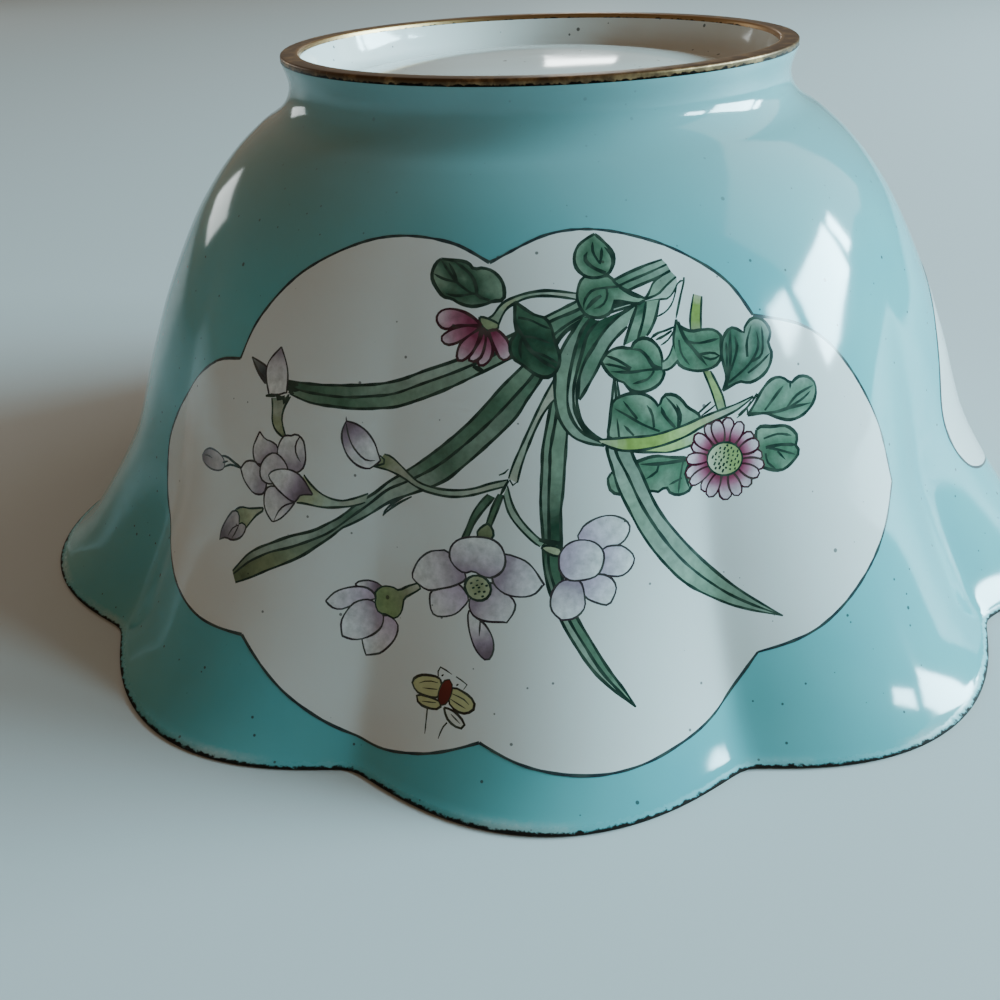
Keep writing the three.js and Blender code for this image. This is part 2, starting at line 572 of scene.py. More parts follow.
# A painting is a list of marks, later ones over earlier ones. A mark is its small flat faces,
# its tint, and how far the brush's streaks show in it.
class Painting:
    def __init__(self):
        self.marks = []

    def fill(self, outline, tint, streaks):
        self.marks.append(([outline], tint, streaks))

    def band(self, left, right, tint, streaks):
        faces = []
        for k in range(len(left) - 1):
            faces.append([left[k], right[k], right[k + 1], left[k + 1]])
        self.marks.append((faces, tint, streaks))

    # The tips are the shares of its width that a line keeps at its start and its end.
    def stroke(self, points, width, colour, tips=(0.35, 0.35), steps=8, spacing=0.6):
        line = evenly(smoothLine(points, steps), spacing)
        left, right = [], []
        for k, point in enumerate(line):
            along = (line[min(k + 1, len(line) - 1)] - line[max(k - 1, 0)]).normalized()
            side = Vector((-along.y, along.x))
            place = k / (len(line) - 1)
            taper = min(1, tips[0] + place * 5, tips[1] + (1 - place) * 5)
            press = 1 + 0.45 * noise.noise(Vector((point.x / 1.3, point.y / 1.3, width)))
            half = width / 2 * taper * press * sheetScale(point.y)
            left.append(point + side * half)
            right.append(point - side * half)
        tint = patchyTint(plainTint(colour), mixed(colour, green["pale"], 0.35), 1.1, 0.5)
        self.band(left, right, tint, 0.3)


# Strap-like blade or stem: its ink lines side by side, with a wash between each and the next.
def paintRibbon(art, lines, washes, line=0.32, dark=green["deep"]):
    smooth = [smoothLine(points, 8) for points in lines]
    longest = max(sum((b - a).length for a, b in zip(points, points[1:])) for points in smooth)
    steps = max(3, round(longest / 0.8))
    spread = [evenly(points, 0.8, steps) for points in smooth]
    for left, right, colours in zip(spread, spread[1:], washes):
        def tint(point, left=left, colours=colours):
            near = min(range(len(left)), key=lambda k: (left[k] - point).length_squared)
            place = min(near / (len(left) - 1), 0.999) * (len(colours) - 1)
            return mixed(green[colours[int(place)]], green[colours[int(place) + 1]], place % 1)
        art.band(left, right, patchyTint(tint, dark, 2.6, 0.3), 0.5)
    for points in spread:
        art.stroke(points, line, ink["leaf"], (0.6, 0.6), 1)


# Closed smooth line in which a point given twice is a corner.
def closedRing(outline, steps):
    edge = smoothLine(outline, steps, closed=True)
    return [point for point, after in zip(edge, edge[1:] + edge[:1]) if (after - point).length > 1e-4]


# Free form: a closed outline and ink lines on it.
def paintShape(art, outline, tint, line, inkColour, folds=(), streaks=0.6):
    ring = closedRing(outline, 6)
    art.fill(evenly(ring + ring[:1], 0.4)[:-1], tint, streaks)
    art.stroke(ring + ring[:1], line, inkColour, (0.9, 0.9), 1, 0.5)
    for fold in folds:
        art.stroke(fold, line * 0.85, inkColour, (0.7, 0.25))


# Egg-shaped petal. An end of 0.5 is round and one of 1 is pointed.
def petalOutline(base, tip, width, ends=(0.5, 0.5)):
    base, tip = Vector(base), Vector(tip)
    along = tip - base
    side = Vector((-along.y, along.x)).normalized()
    widest = ends[0] / (ends[0] + ends[1])
    full = widest ** ends[0] * (1 - widest) ** ends[1]
    left, right = [], []
    steps = 11
    for step in range(1, steps):
        t = (1 - math.cos(math.pi * step / steps)) / 2
        half = width / 2 * t ** ends[0] * (1 - t) ** ends[1] / full
        left.append(base + along * t + side * half)
        right.append(base + along * t - side * half)
    return [base] + right + [tip] + left[::-1]


def paintPetal(art, base, tip, width, ends, colours, inkColour, line, streaks):
    outline = petalOutline(base, tip, width, ends)
    art.fill(outline, alongTint(base, tip, *colours), streaks)
    art.stroke(outline + outline[:1], line, inkColour, (0.8, 0.8), 1, 0.5)


# Leaf, dark along its first three veins and paler away from them.
def paintLeaf(art, outline, veins, dark, pale):
    line, reach = 0.34, 1.9
    ring = closedRing(outline, 5)
    veinLines = [smoothLine(vein, 6) for vein in veins[:3]]
    tint = patchyTint(nearTint(sum(veinLines, []), reach, dark, pale), dark, 2.4, 0.6)
    art.fill(evenly(ring + ring[:1], 0.5)[:-1], tint, 0.6)
    art.stroke(ring + ring[:1], line, ink["leaf"], (0.8, 0.8), 1)
    for k, vein in enumerate(veins):
        art.stroke(vein, line * (1.1 if k == 0 else 0.8), ink["leaf"], (0.9, 0.15))


daisy = {
    "centre": (26.2, 31.4),
    "reach": (4.6, 4.4),
    "petals": 19,
    "seed": 4,
    "petalColours": (rose["deep"], rose["deep"], rose["mid"], rose["pale"], rose["light"]),
    "discColours": ((0.62, 0.66, 0.50), (0.29, 0.41, 0.16)),
    "spots": 34,
    "spotTurn": 2.4,  # radians from one spot to the next
}


def paintDaisy(art):
    dice = random.Random(daisy["seed"])
    centre, reach, count = Vector(daisy["centre"]), daisy["reach"], daisy["petals"]
    for k in list(range(0, count, 2)) + list(range(1, count, 2)):
        angle = math.tau * (k + dice.uniform(-0.2, 0.2)) / count
        outward = Vector((math.cos(angle) * reach[0], math.sin(angle) * reach[1]))
        tip = centre + outward * dice.uniform(0.9, 1.05)
        width = dice.uniform(1.25, 1.5)
        colours = daisy["petalColours"]
        paintPetal(art, centre + outward * 0.3, tip, width, (0.8, 0.42), colours, ink["aster"], 0.23, 0.5)
    left = centre - Vector((0.43 * reach[0], 0))
    right = centre + Vector((0.42 * reach[0], 0))
    disc = petalOutline(left, right, reach[1] * 0.82)
    shade = alongTint(centre + Vector((-1.9, 0)), centre + Vector((0.6, 0.2)), *daisy["discColours"])
    art.fill(disc, shade, 0.3)
    art.stroke(disc + disc[:1], 0.22, ink["leaf"], (0.8, 0.8), 1, 0.5)
    for k in range(daisy["spots"]):
        angle, far = k * daisy["spotTurn"], math.sqrt((k + 0.5) / daisy["spots"]) * 0.35
        across = math.cos(angle) * far * reach[0] + 0.15
        up = math.sin(angle) * far * reach[1] * 0.95
        spot = centre + Vector((across, up))
        lean = Vector((0.08, 0.14)) * dice.uniform(0.6, 1.3)
        art.stroke([spot - lean, spot + lean], 0.2, ink["leaf"], (0.9, 0.9), 2, 0.2)


# The bee under the spray: wings with their ribs, the body, feelers and legs.
bee = {
    "wings": [
        [(-3.2, 11.3), (-4.9, 11.2), (-5.9, 10.5), (-5.9, 9.9), (-5.1, 9.4), (-3.2, 9.7)],
        [(-3, 9.3), (-5.2, 9.3), (-5.2, 8.6), (-4.4, 8.4), (-3.2, 8.6)],
        [(-2.6, 8.9), (-2.1, 7.9), (-1, 7.5), (-0.6, 8), (-1.4, 8.7), (-2.1, 8.9)],
        [(-2, 10.8), (-0.9, 10.7), (0, 10.2), (0.2, 9.5), (-0.5, 8.9), (-1.4, 8.9), (-2.2, 9.5)],
    ],
    "ribs": [
        [(-3.4, 10.9), (-4.4, 10.8), (-5.3, 10.3)], [(-3.4, 10.3), (-4.9, 10)], [(-3.4, 9.1), (-4.8, 8.8)],
        [(-1.9, 8.5), (-1, 7.9)], [(-2, 10.3), (-0.9, 10.1), (-0.3, 9.7)],
        [(-2.1, 9.8), (-1.2, 9.5), (-0.6, 9.3)],
    ],
    "limbs": [
        [(-3.4, 11.3), (-3.4, 12.4), (-2.1, 12)], [(-1.7, 11.9), (-0.6, 11.4), (-0.9, 10.9)],
        [(-4.2, 8.4), (-4.2, 6.1)], [(-2.2, 7.7), (-2.6, 7.1), (-2.9, 6.1)], [(-3.1, 11.6), (-2.9, 11.8)],
        [(-1.6, 11.1), (-1.4, 11.3)],
    ],
    "body": ((-2.95, 9.0), (-2.3, 11.5), 1.2),
    "bodyColours": ((0.10, 0.012, 0.01), (0.16, 0.02, 0.014)),
    "wingColour": (0.50, 0.49, 0.25),
    "paleWingColour": (0.66, 0.66, 0.62),
    "paleWing": 2,
}


def paintBee(art):
    for k, wing in enumerate(bee["wings"]):
        colour = bee["paleWingColour"] if k == bee["paleWing"] else bee["wingColour"]
        paintShape(art, wing, plainTint(colour), 0.26, ink["bee"], streaks=0.2)
    for points in bee["ribs"]:
        art.stroke(points, 0.15, ink["bee"], (0.5, 0.3), 4)
    paintPetal(art, *bee["body"], (0.5, 0.5), bee["bodyColours"], ink["bee"], 0.15, 0.2)
    for points in bee["limbs"]:
        art.stroke(points, 0.18, ink["bee"], (0.8, 0.4), 3)


# The cartouche: hand-drawn lobes, each from one cusp to the next. The right one is in two parts.
cartouche = [
    [(0.2, 55.9), (-5, 58.4), (-12, 59), (-18.5, 57.2), (-25.8, 52.3), (-30.9, 45.5), (-32.6, 40)],
    [
        (-32.6, 40), (-37.6, 38.3), (-43.3, 33.8), (-47.5, 27.9), (-48.8, 22.4), (-45.9, 15.6),
        (-38.9, 12.5), (-31, 11.1), (-24.2, 11.4),
    ],
    [(-24.2, 11.4), (-17.6, 6.5), (-10.6, 3.2), (-5, 4.1), (0.8, 6.7)],
    [(0.8, 6.7), (5.1, 5.2), (11.3, 4.3), (17, 4.7), (22.5, 6.3), (27.1, 10.9)],
    [(27.1, 10.9), (33.4, 12.5), (40.6, 16.2), (45.4, 19.5), (48.4, 23)],
    [(48.4, 23), (47.6, 30), (45.3, 36.1), (42, 41.4), (38, 44.6), (32.2, 46.7)],
    [
        (32.2, 46.7), (30.1, 50.8), (26.7, 54.2), (21.2, 57.7), (14, 60), (7.4, 59.6), (0.6, 56.1),
        (0.2, 55.9),
    ],
]

# Ivy leaves: outline, then the veins, the main one first.
ivyLeaves = {
    "topLeft": ([
        (-6.1, 56.2), (-6.1, 56.2), (-4.8, 56.1), (-3.1, 56), (-2.1, 55.5), (-1.7, 55), (-0.7, 55.2),
        (0.7, 54.8), (1.8, 53.7), (2.2, 52.5), (2.1, 51.3), (0.9, 51.1), (0, 50.7), (-1.6, 50.4),
        (-3.1, 50.7), (-4.1, 51.2), (-5.2, 51.4), (-6.1, 52.3), (-6.9, 53.5), (-7, 54.6), (-6.6, 55.7),
    ], [
        [(0.5, 51.2), (-1, 51.7), (-1.2, 52.7), (-1.8, 54), (-3, 55.1), (-4.3, 55.9)],
        [(-1.2, 51.9), (-1.8, 52), (-3.6, 53.2), (-4.8, 54.5), (-6.1, 56.1)],
        [(-1.4, 52), (-3.4, 51.6), (-4.9, 51.8)], [(-3.7, 53.4), (-4.2, 54.5), (-5, 55.7)],
        [(-3.7, 53.3), (-5.4, 53.6), (-6.8, 54.2)],
    ]),
    "underAster": ([
        (3.5, 51.1), (3.5, 51.1), (4.4, 50.4), (5.8, 49.5), (7, 49.1), (7.7, 48), (8, 46.6), (8.5, 45),
        (8.4, 43.7), (7.7, 42.7), (6.7, 42.5), (5.6, 43), (4.4, 43.9), (3.5, 44.5), (3, 45.5), (3.1, 46.6),
        (3.7, 47.5), (3.5, 48.9), (3.5, 50.2),
    ], [
        [(3.6, 48.4), (4.4, 47.1), (5.1, 45.8), (6.5, 44.4), (8.3, 43.3)],
        [(4.5, 47), (5.8, 46.9), (7.6, 46.2)], [(4.4, 47), (4.1, 45.8), (4.3, 44.5)],
        [(3.9, 49.2), (5.3, 48.9), (6.7, 48.2), (7.7, 47.8)], [(5.6, 45.3), (6.8, 44.9), (8.3, 44)],
    ]),
    "crown": ([
        (13.7, 59.4), (13.7, 59.4), (12.7, 58.9), (11.4, 57.9), (10.8, 56.5), (10.9, 55.1), (11.8, 54),
        (13.1, 53.6), (14.7, 53.9), (15.5, 54.9), (15.8, 56.1), (15.4, 57.3), (14.5, 58.5),
    ], [
        [(14.5, 54.1), (12.9, 55), (12.1, 56.1), (12.5, 57)], [(13.9, 55.4), (13.2, 56.9), (13.3, 58.3)],
        [(13.9, 55.3), (14.2, 56.3), (14.4, 57.5)],
        [(14.9, 54.1), (15.5, 55.3), (15.4, 56.6), (14.7, 57.5)], [(15, 54.1), (15.7, 55.3), (15.6, 56.6)],
    ]),
    "neck": ([
        (11.8, 53.8), (11.1, 52.8), (10.8, 51.4), (11.1, 50.2), (11.8, 49.2), (13.1, 48.8), (14.3, 49.1),
        (15, 49.9), (15.2, 50.6), (16.7, 50.3), (18.1, 50), (19, 50.5), (19, 50.5), (17.8, 51.2),
        (16.4, 52), (15.5, 52.8), (14.9, 53.7), (13.2, 53.7),
    ], [
        [(13.7, 51.4), (12.7, 50.8), (11.7, 49.8)],
        [(14.4, 52.2), (14.4, 51.2), (13.7, 50.2), (12.7, 49.9)],
        [(16.1, 52.3), (14.5, 52.3), (12.7, 52.1), (11.7, 51), (11.5, 50)],
        [(16, 52.2), (17.4, 51.1), (18.8, 50.6)],
    ]),
    "tulip": ([
        (13.1, 43.9), (13.9, 44.8), (14.9, 45.2), (15.9, 45.2), (16.5, 44.9), (17, 45.6), (18, 46),
        (19, 45.7), (19.8, 44.8), (20.1, 43.8), (20.1, 42.4), (20.2, 41.8), (19.6, 40.8), (18.4, 40.2),
        (17, 40.1), (16, 40.5), (15.5, 41.3), (14.7, 41.7), (13.9, 42.4), (13.4, 43.2),
    ], [
        [(20, 42.3), (19, 42.7), (18.4, 43.8), (17.6, 44.7), (16.5, 44.9)],
        [(20, 42.3), (18.2, 42.4), (16.2, 42.4), (14.1, 42.7)], [(19, 42.2), (18.2, 41.4), (16.4, 41.1)],
        [(16.4, 42.8), (14.9, 43.9), (13.6, 44.5)], [(16.3, 42.6), (14.9, 43.2), (13.4, 43.6)],
    ]),
    "tipUp": ([
        (22.4, 47.6), (22.4, 47.6), (22.7, 46.8), (24, 46), (25.4, 46), (26.8, 45.8), (27.6, 45),
        (27.4, 44), (27.3, 42.8), (26.6, 41.8), (25.4, 41.4), (24, 41.4), (22.5, 42), (21.9, 42.7),
        (21.7, 43.7), (21.7, 45.2), (22.1, 46.7),
    ], [
        [(22.6, 47.3), (23.1, 45.4), (24.1, 43.8), (25.4, 41.8)], [(23.1, 45), (24.7, 44.5), (27.3, 44.7)],
        [(22.4, 45.2), (22.5, 43.6), (23.3, 42.2)],
        [(24.7, 43.2), (26.2, 43.2), (27, 42.7), (25.8, 42.5), (24.8, 43.1)],
    ]),
    "fan": ([
        (26.8, 38.8), (26.8, 38.8), (27.5, 40.3), (27.3, 42.1), (27.4, 43.6), (27.9, 44.8), (28.9, 45.7),
        (29.9, 45.4), (30.5, 44.8), (30.7, 45.4), (31.8, 46.3), (33, 46.2), (33.8, 45.3), (34, 44.2),
        (33.4, 43.2), (33.6, 42.1), (33, 40.7), (31.8, 39.7), (30.1, 39.2), (28.9, 39.5),
    ], [
        [(27.2, 39.1), (28.1, 41.5), (28.5, 43.6), (28.9, 45.5)],
        [(28.1, 40.9), (29.3, 43.2), (29.3, 44.7)], [(27.6, 39.6), (30.5, 41.3), (32, 43), (32.2, 44.7)],
        [(30.7, 41.5), (32.2, 42), (32.8, 43.8), (33, 45.2)], [(27.5, 40.6), (27.9, 42.4), (28.1, 44.2)],
        [(30.1, 40.3), (31.8, 41.1), (33.3, 42)], [(30.4, 42.1), (30.7, 43.8), (31.7, 45.6)],
    ]),
    "broad": ([
        (14, 39.3), (14.9, 39.9), (16.2, 40.1), (17.6, 39.8), (18.6, 39.1), (19.2, 38.2), (19.4, 38.8),
        (20, 39.4), (21.1, 39.2), (21.9, 38.5), (22.5, 37.6), (23.3, 37), (23.9, 36.1), (21.6, 35.5),
        (18.1, 35.3), (15, 35.4), (13.4, 35.7), (13.6, 37.4),
    ], [
        [(20.8, 35.7), (19.7, 37.2), (19.4, 38.2)], [(19, 35.6), (17.2, 36.6), (15.8, 37.6), (14.2, 38.7)],
        [(16.6, 37.3), (16, 38.2), (15.2, 39.4)], [(18.4, 36.1), (18.3, 37.6), (17.8, 38.6)],
        [(21.1, 35.7), (21.3, 37), (20.9, 38), (20, 39.2)], [(21.3, 35.7), (21.6, 36.8), (21.2, 38.2)],
        [(14.5, 35.6), (14.4, 37.6)], [(16.1, 35.6), (15.1, 36.8)],
    ]),
    "behind": ([
        (13.4, 32), (13.1, 30.8), (13.7, 29.9), (15.5, 29.6), (17.4, 29.6), (18.4, 29.3), (19.2, 29.7),
        (19.6, 29), (20.6, 28.5), (21.9, 28.7), (22.3, 29.7), (21.5, 30.5), (22.2, 32), (20.2, 32.6),
        (18.2, 33.1), (16.1, 32.8),
    ], [
        [(22, 32), (18.7, 32.2), (16.6, 32.5)], [(21.4, 31.9), (20.9, 30.2), (20.6, 28.7)],
        [(18.6, 32.1), (18.3, 31.4), (17.1, 30.9)], [(21.1, 30.2), (19.6, 29.8)],
        [(21.5, 30.6), (21.9, 29)],
    ]),
    "right": ([
        (29.3, 35.7), (29.3, 35.7), (30.3, 36.8), (31.3, 38), (32.6, 39), (33.8, 39.2), (34.8, 38.7),
        (35.2, 38.2), (36.4, 38.7), (37.7, 38.4), (38.5, 37.5), (38.3, 36.2), (37.3, 35.1), (35.8, 34.4),
        (34.2, 34.3), (32.7, 34.9), (31.3, 35.6),
    ], [
        [(29.6, 35.8), (32.6, 35.5), (34.6, 35.6), (37.4, 35.5)],
        [(31.4, 35.9), (33.2, 37.4), (34.2, 38.1)], [(34.2, 35.7), (35.8, 36.8), (38.2, 37.3)],
        [(34.6, 35.7), (36.4, 36.2), (37.7, 36.8)], [(35.2, 38.3), (35, 37.6)],
    ]),
    "lowRight": ([
        (30.1, 34), (32.1, 34), (33.6, 33.8), (34.5, 33.1), (34.9, 32.3), (34.5, 31.5), (34.8, 30.7),
        (33.8, 29.8), (32.5, 29.2), (31.1, 29.5), (30.1, 30.3),
    ], [
        [(30.9, 31.9), (32.7, 31.9), (34.6, 31.5)], [(31.3, 31.8), (32.6, 31.3), (34.3, 30.5)],
        [(30.8, 31.3), (30.9, 30.3), (31.7, 29.5)], [(30.8, 32.9), (32.6, 33.1), (34.2, 32.6)],
        [(32.2, 31.3), (33, 30.2)],
    ]),
}

# Petals and buds from back to front: outline, where the tint starts and ends, its shade, and folds.
petals = {
    "middle": [
        ([
            (-0.8, 18.3), (-0.8, 16.9), (-0.3, 15.3), (0.4, 14.3), (1.2, 13.9), (1.7, 14.8), (1.6, 16),
            (0.9, 17.1), (0.2, 17.6),
        ], (0, 17.5), (1, 14.6), "dusk", [[(0.35, 17.4), (0.3, 16)]]),
        ([
            (-4.7, 19.5), (-4.9, 18.2), (-4.5, 17.2), (-3.7, 17.1), (-2.3, 17.6), (-1.4, 18.5),
            (-0.9, 19.6), (-2.4, 20.8),
        ], (-4.2, 17.3), (-2, 20), "soft", []),
        ([
            (-0.8, 19.2), (-0.5, 18), (0.7, 17.5), (2.6, 17.6), (2.9, 17.6), (2.9, 17.6), (3.5, 18.5),
            (3.7, 19.4), (3.2, 20.1), (1.8, 21.3), (0, 20.6),
        ], (3.4, 18), (0.6, 20), "lilac", []),
        ([
            (-3.1, 23.7), (-4.2, 23.7), (-5.3, 23.3), (-6.4, 22.2), (-7, 20.8), (-7, 20.2), (-6.2, 19.7),
            (-5.1, 19.4), (-3.7, 19.9), (-2.3, 20.5), (-1.2, 21.6),
        ], (-6, 21), (-2, 22), "lilac", []),
        ([
            (2.2, 24.1), (4.1, 23.9), (5.3, 23.1), (6.4, 21.4), (6.4, 21.4), (5.5, 20.4), (4.1, 20.1),
            (2.5, 20.4), (1.4, 21.7),
        ], (6, 21.2), (2.4, 22.4), "lilac", []),
        ([
            (-3, 23.8), (-2.7, 24.6), (-1.9, 25.3), (-0.5, 25.7), (1.1, 25.7), (2.1, 25.2), (2.6, 24.3),
            (2.7, 23.3), (2.3, 22.4), (1.4, 21.8), (0.5, 21.8), (-0.5, 22.2), (-1.4, 21.9), (-2.3, 22.3),
            (-2.9, 23),
        ], (0, 25.4), (-0.2, 22), "lilac", []),
    ],
    "right": [
        ([
            (9.9, 25.6), (10, 26.3), (10.6, 27.1), (12, 27.7), (13.4, 27.7), (14.6, 27.1), (15.1, 26.3),
            (14.8, 25.4), (14, 24.7), (12.2, 24.4),
        ], (14, 26.5), (10.4, 25.8), "soft", [[(14.5, 26.95), (14.8, 26.9)]]),
        ([
            (12.2, 24.4), (13.8, 24.6), (14.7, 24.1), (15.4, 23.1), (15, 22.1), (14, 21.5), (12.7, 21.7),
            (11.7, 22),
        ], (14.8, 22.8), (12.2, 23.6), "soft", []),
        ([
            (9.9, 21.5), (11.7, 22), (12.9, 21.5), (13.4, 20.5), (13.1, 19.6), (12.5, 18.9), (11.3, 19.3),
            (10.3, 20),
        ], (12.6, 19.4), (10.8, 21.2), "soft", []),
        ([
            (8.3, 21.7), (7.3, 20.8), (7, 19.6), (7.2, 18.7), (8, 17.9), (8, 17.9), (9.2, 18), (10.1, 18.7),
            (10.3, 19.6), (9.9, 21.5),
        ], (8, 18.2), (9, 21.4), "lilac", []),
        ([
            (8, 24.3), (8.7, 25.2), (9.9, 25.6), (11.3, 25.3), (12.2, 24.4), (12.3, 23.3), (11.7, 22),
            (10.4, 21.6), (8.8, 21.7), (8, 22.6), (7.9, 23.5),
        ], (11.4, 22.6), (8.6, 23.8), "soft", []),
    ],
    "lowLeft": [
        ([
            (-13.4, 18.3), (-12.4, 18.8), (-11.3, 18.7), (-10.6, 18.3), (-11.6, 17.4),
        ], (-13, 18.2), (-11.2, 18), "dusk", []),
        ([
            (-16.2, 16.3), (-16.2, 16.3), (-15.4, 17.3), (-14.1, 17.9), (-12.7, 18.1), (-11.7, 17.8),
            (-11.1, 17), (-12.2, 16.6), (-13.6, 16), (-14.5, 15.6), (-15.4, 15.7),
        ], (-15.8, 16.4), (-11.8, 17), "soft", []),
        ([
            (-10, 15.4), (-8.8, 15.4), (-8.2, 14.8), (-8.5, 13.4), (-9.7, 11.8), (-10.6, 11.3),
            (-11.4, 11.1), (-11.4, 11.1), (-11.9, 12.3), (-11.9, 13.4),
        ], (-10.6, 12), (-9, 15), "soft", []),
        ([
            (-13.9, 15.5), (-13.2, 16.4), (-12, 16.8), (-11.1, 16.5), (-10.1, 15.5), (-10.1, 14.3),
            (-10.9, 13.3), (-12, 12.7), (-13, 12.6), (-14, 12.9), (-14, 12.9), (-14.3, 14.3),
        ], (-13.6, 14), (-10.8, 15.6), "lilac", []),
    ],
    "left": [
        ([
            (-23.3, 33.1), (-22.4, 33.3), (-21.6, 33.6), (-20.7, 33.1), (-20.3, 32.1), (-20.1, 30.9),
            (-20.5, 29.8), (-22, 29.2), (-23.6, 30.4), (-23.9, 31.8),
        ], (-22.4, 33), (-21.6, 30.2), "grey", [
            [(-21.2, 33.4), (-21.6, 32.5), (-21.4, 31.5), (-20.7, 30.7)],
        ]),
        ([
            (-26.9, 32.8), (-26.9, 32.8), (-27.2, 31.9), (-27.5, 30.9), (-27.2, 29.8), (-26.5, 29.2),
            (-24.4, 30), (-23.9, 31.6), (-24.8, 32.1), (-25.9, 32.2),
        ], (-27, 32), (-25.2, 30.6), "grey", []),
        ([
            (-29, 28), (-29, 28), (-28.3, 29), (-27.1, 29.4), (-26.5, 29.2), (-25, 28.4), (-25, 26.4),
            (-26.3, 25.9), (-27.3, 26.3), (-28.3, 27),
        ], (-28.6, 28), (-25.6, 27.6), "grey", []),
        ([
            (-26, 29), (-25.4, 30.3), (-24.2, 31), (-22.8, 30.4), (-22.2, 29.2), (-24, 27.6), (-25.6, 27.7),
        ], (-25.4, 29), (-23, 29.4), "bloom", []),
        ([
            (-24.9, 26.6), (-24.2, 27.3), (-22.4, 27.4), (-21, 26.4), (-20.9, 26.2), (-21.6, 25.1),
            (-22.6, 24), (-23.5, 23.5), (-23.5, 23.5), (-24.4, 24.3), (-24.9, 25.3),
        ], (-24, 24.4), (-22, 26.8), "grey", [[(-20.9, 26.2), (-22, 25.7), (-22.8, 24.9), (-23.3, 23.7)]]),
        ([
            (-24.7, 28.4), (-23.8, 29.2), (-22.2, 29.6), (-20.9, 29.4), (-20, 28.8), (-19.3, 28),
            (-18.8, 27.4), (-18.8, 27.4), (-20.3, 27.1), (-21, 26.2), (-22.8, 26.9), (-23.9, 27.6),
        ], (-22.9, 28.6), (-20.4, 27.4), "dusk", []),
    ],
    "buds": [
        ([
            (-30.5, 40.7), (-30.5, 40.7), (-29, 40.5), (-27.4, 40), (-27, 38.3), (-28.1, 38.7),
            (-29.2, 39.5),
        ], (-29.8, 40.6), (-28.6, 39.2), "sepal", [[(-30, 40.3), (-28.8, 39.4), (-27.4, 38.8)]]),
        ([
            (-26, 42.9), (-26, 42.9), (-27.3, 41.2), (-27.6, 40), (-27.2, 38.6), (-26.4, 37.2),
            (-26.4, 37.2), (-24.9, 37.5), (-23.9, 38), (-23.9, 38), (-24, 39.3), (-24.3, 40.4),
            (-24.9, 41.5),
        ], (-25.8, 38.6), (-25.9, 42.2), "grey", []),
        ([
            (-37.4, 26.6), (-37.4, 26.6), (-36.7, 27.5), (-35.5, 28.2), (-33.9, 28.4), (-32.6, 28.2),
            (-31.9, 27.6), (-32.1, 27), (-32.9, 26.5), (-34.3, 26.1), (-35.9, 26), (-37, 26.2),
        ], (-34, 27.4), (-37, 26.8), "shadow", [[(-37, 26.8), (-35.9, 27.2), (-34.7, 27.3)]]),
        ([
            (-29, 23.2), (-29.8, 22.5), (-30.5, 21.2), (-30.8, 20.2), (-30.7, 19.4), (-30.7, 19.4),
            (-29.8, 19.9), (-28.7, 20), (-27.5, 20.7), (-27, 21.8), (-27.2, 23),
        ], (-28.4, 22.6), (-30, 20), "shadow", [
            [(-28.1, 21.9), (-29, 21.2), (-29.5, 20.2)], [(-28.1, 21.9), (-28.4, 21), (-28.8, 20.2)],
        ]),
        ([
            (-15.6, 36), (-15.6, 36), (-14.4, 35.8), (-13.1, 35.1), (-12.1, 33.9), (-11.6, 32.7),
            (-11.3, 32.1), (-12, 31.4), (-12.7, 31), (-14, 31.3), (-15.2, 32.3), (-15.9, 33.7), (-16, 35),
        ], (-13, 32.6), (-15.3, 35.6), "dusk", [
            [(-15.6, 35.7), (-15.2, 34.4), (-14.6, 33.3), (-13.6, 32.3), (-12.8, 31.9), (-11.9, 32)],
            [(-15.6, 35.9), (-15.7, 36.5)],
        ]),
    ],
}
petalShades = {
    "lilac": (lilac["light"], lilac["pale"], lilac["mid"]),
    "soft": (lilac["light"], (0.65, 0.60, 0.68), (0.53, 0.43, 0.56)),
    "dusk": (lilac["light"], lilac["pale"], lilac["mid"], lilac["deep"]),
    "grey": ((0.71, 0.71, 0.71), (0.65, 0.63, 0.66), (0.34, 0.29, 0.35)),
    "shadow": ((0.50, 0.47, 0.49), (0.33, 0.30, 0.33), (0.16, 0.13, 0.16)),
    "bloom": ((0.66, 0.64, 0.66), (0.52, 0.47, 0.53)),
    "sepal": ((0.22, 0.24, 0.24), (0.05, 0.06, 0.07)),
}


def paintFlower(art, name):
    for outline, start, end, shade, folds in petals[name]:
        paintShape(art, outline, alongTint(start, end, *petalShades[shade]), 0.22, ink["petal"], folds)


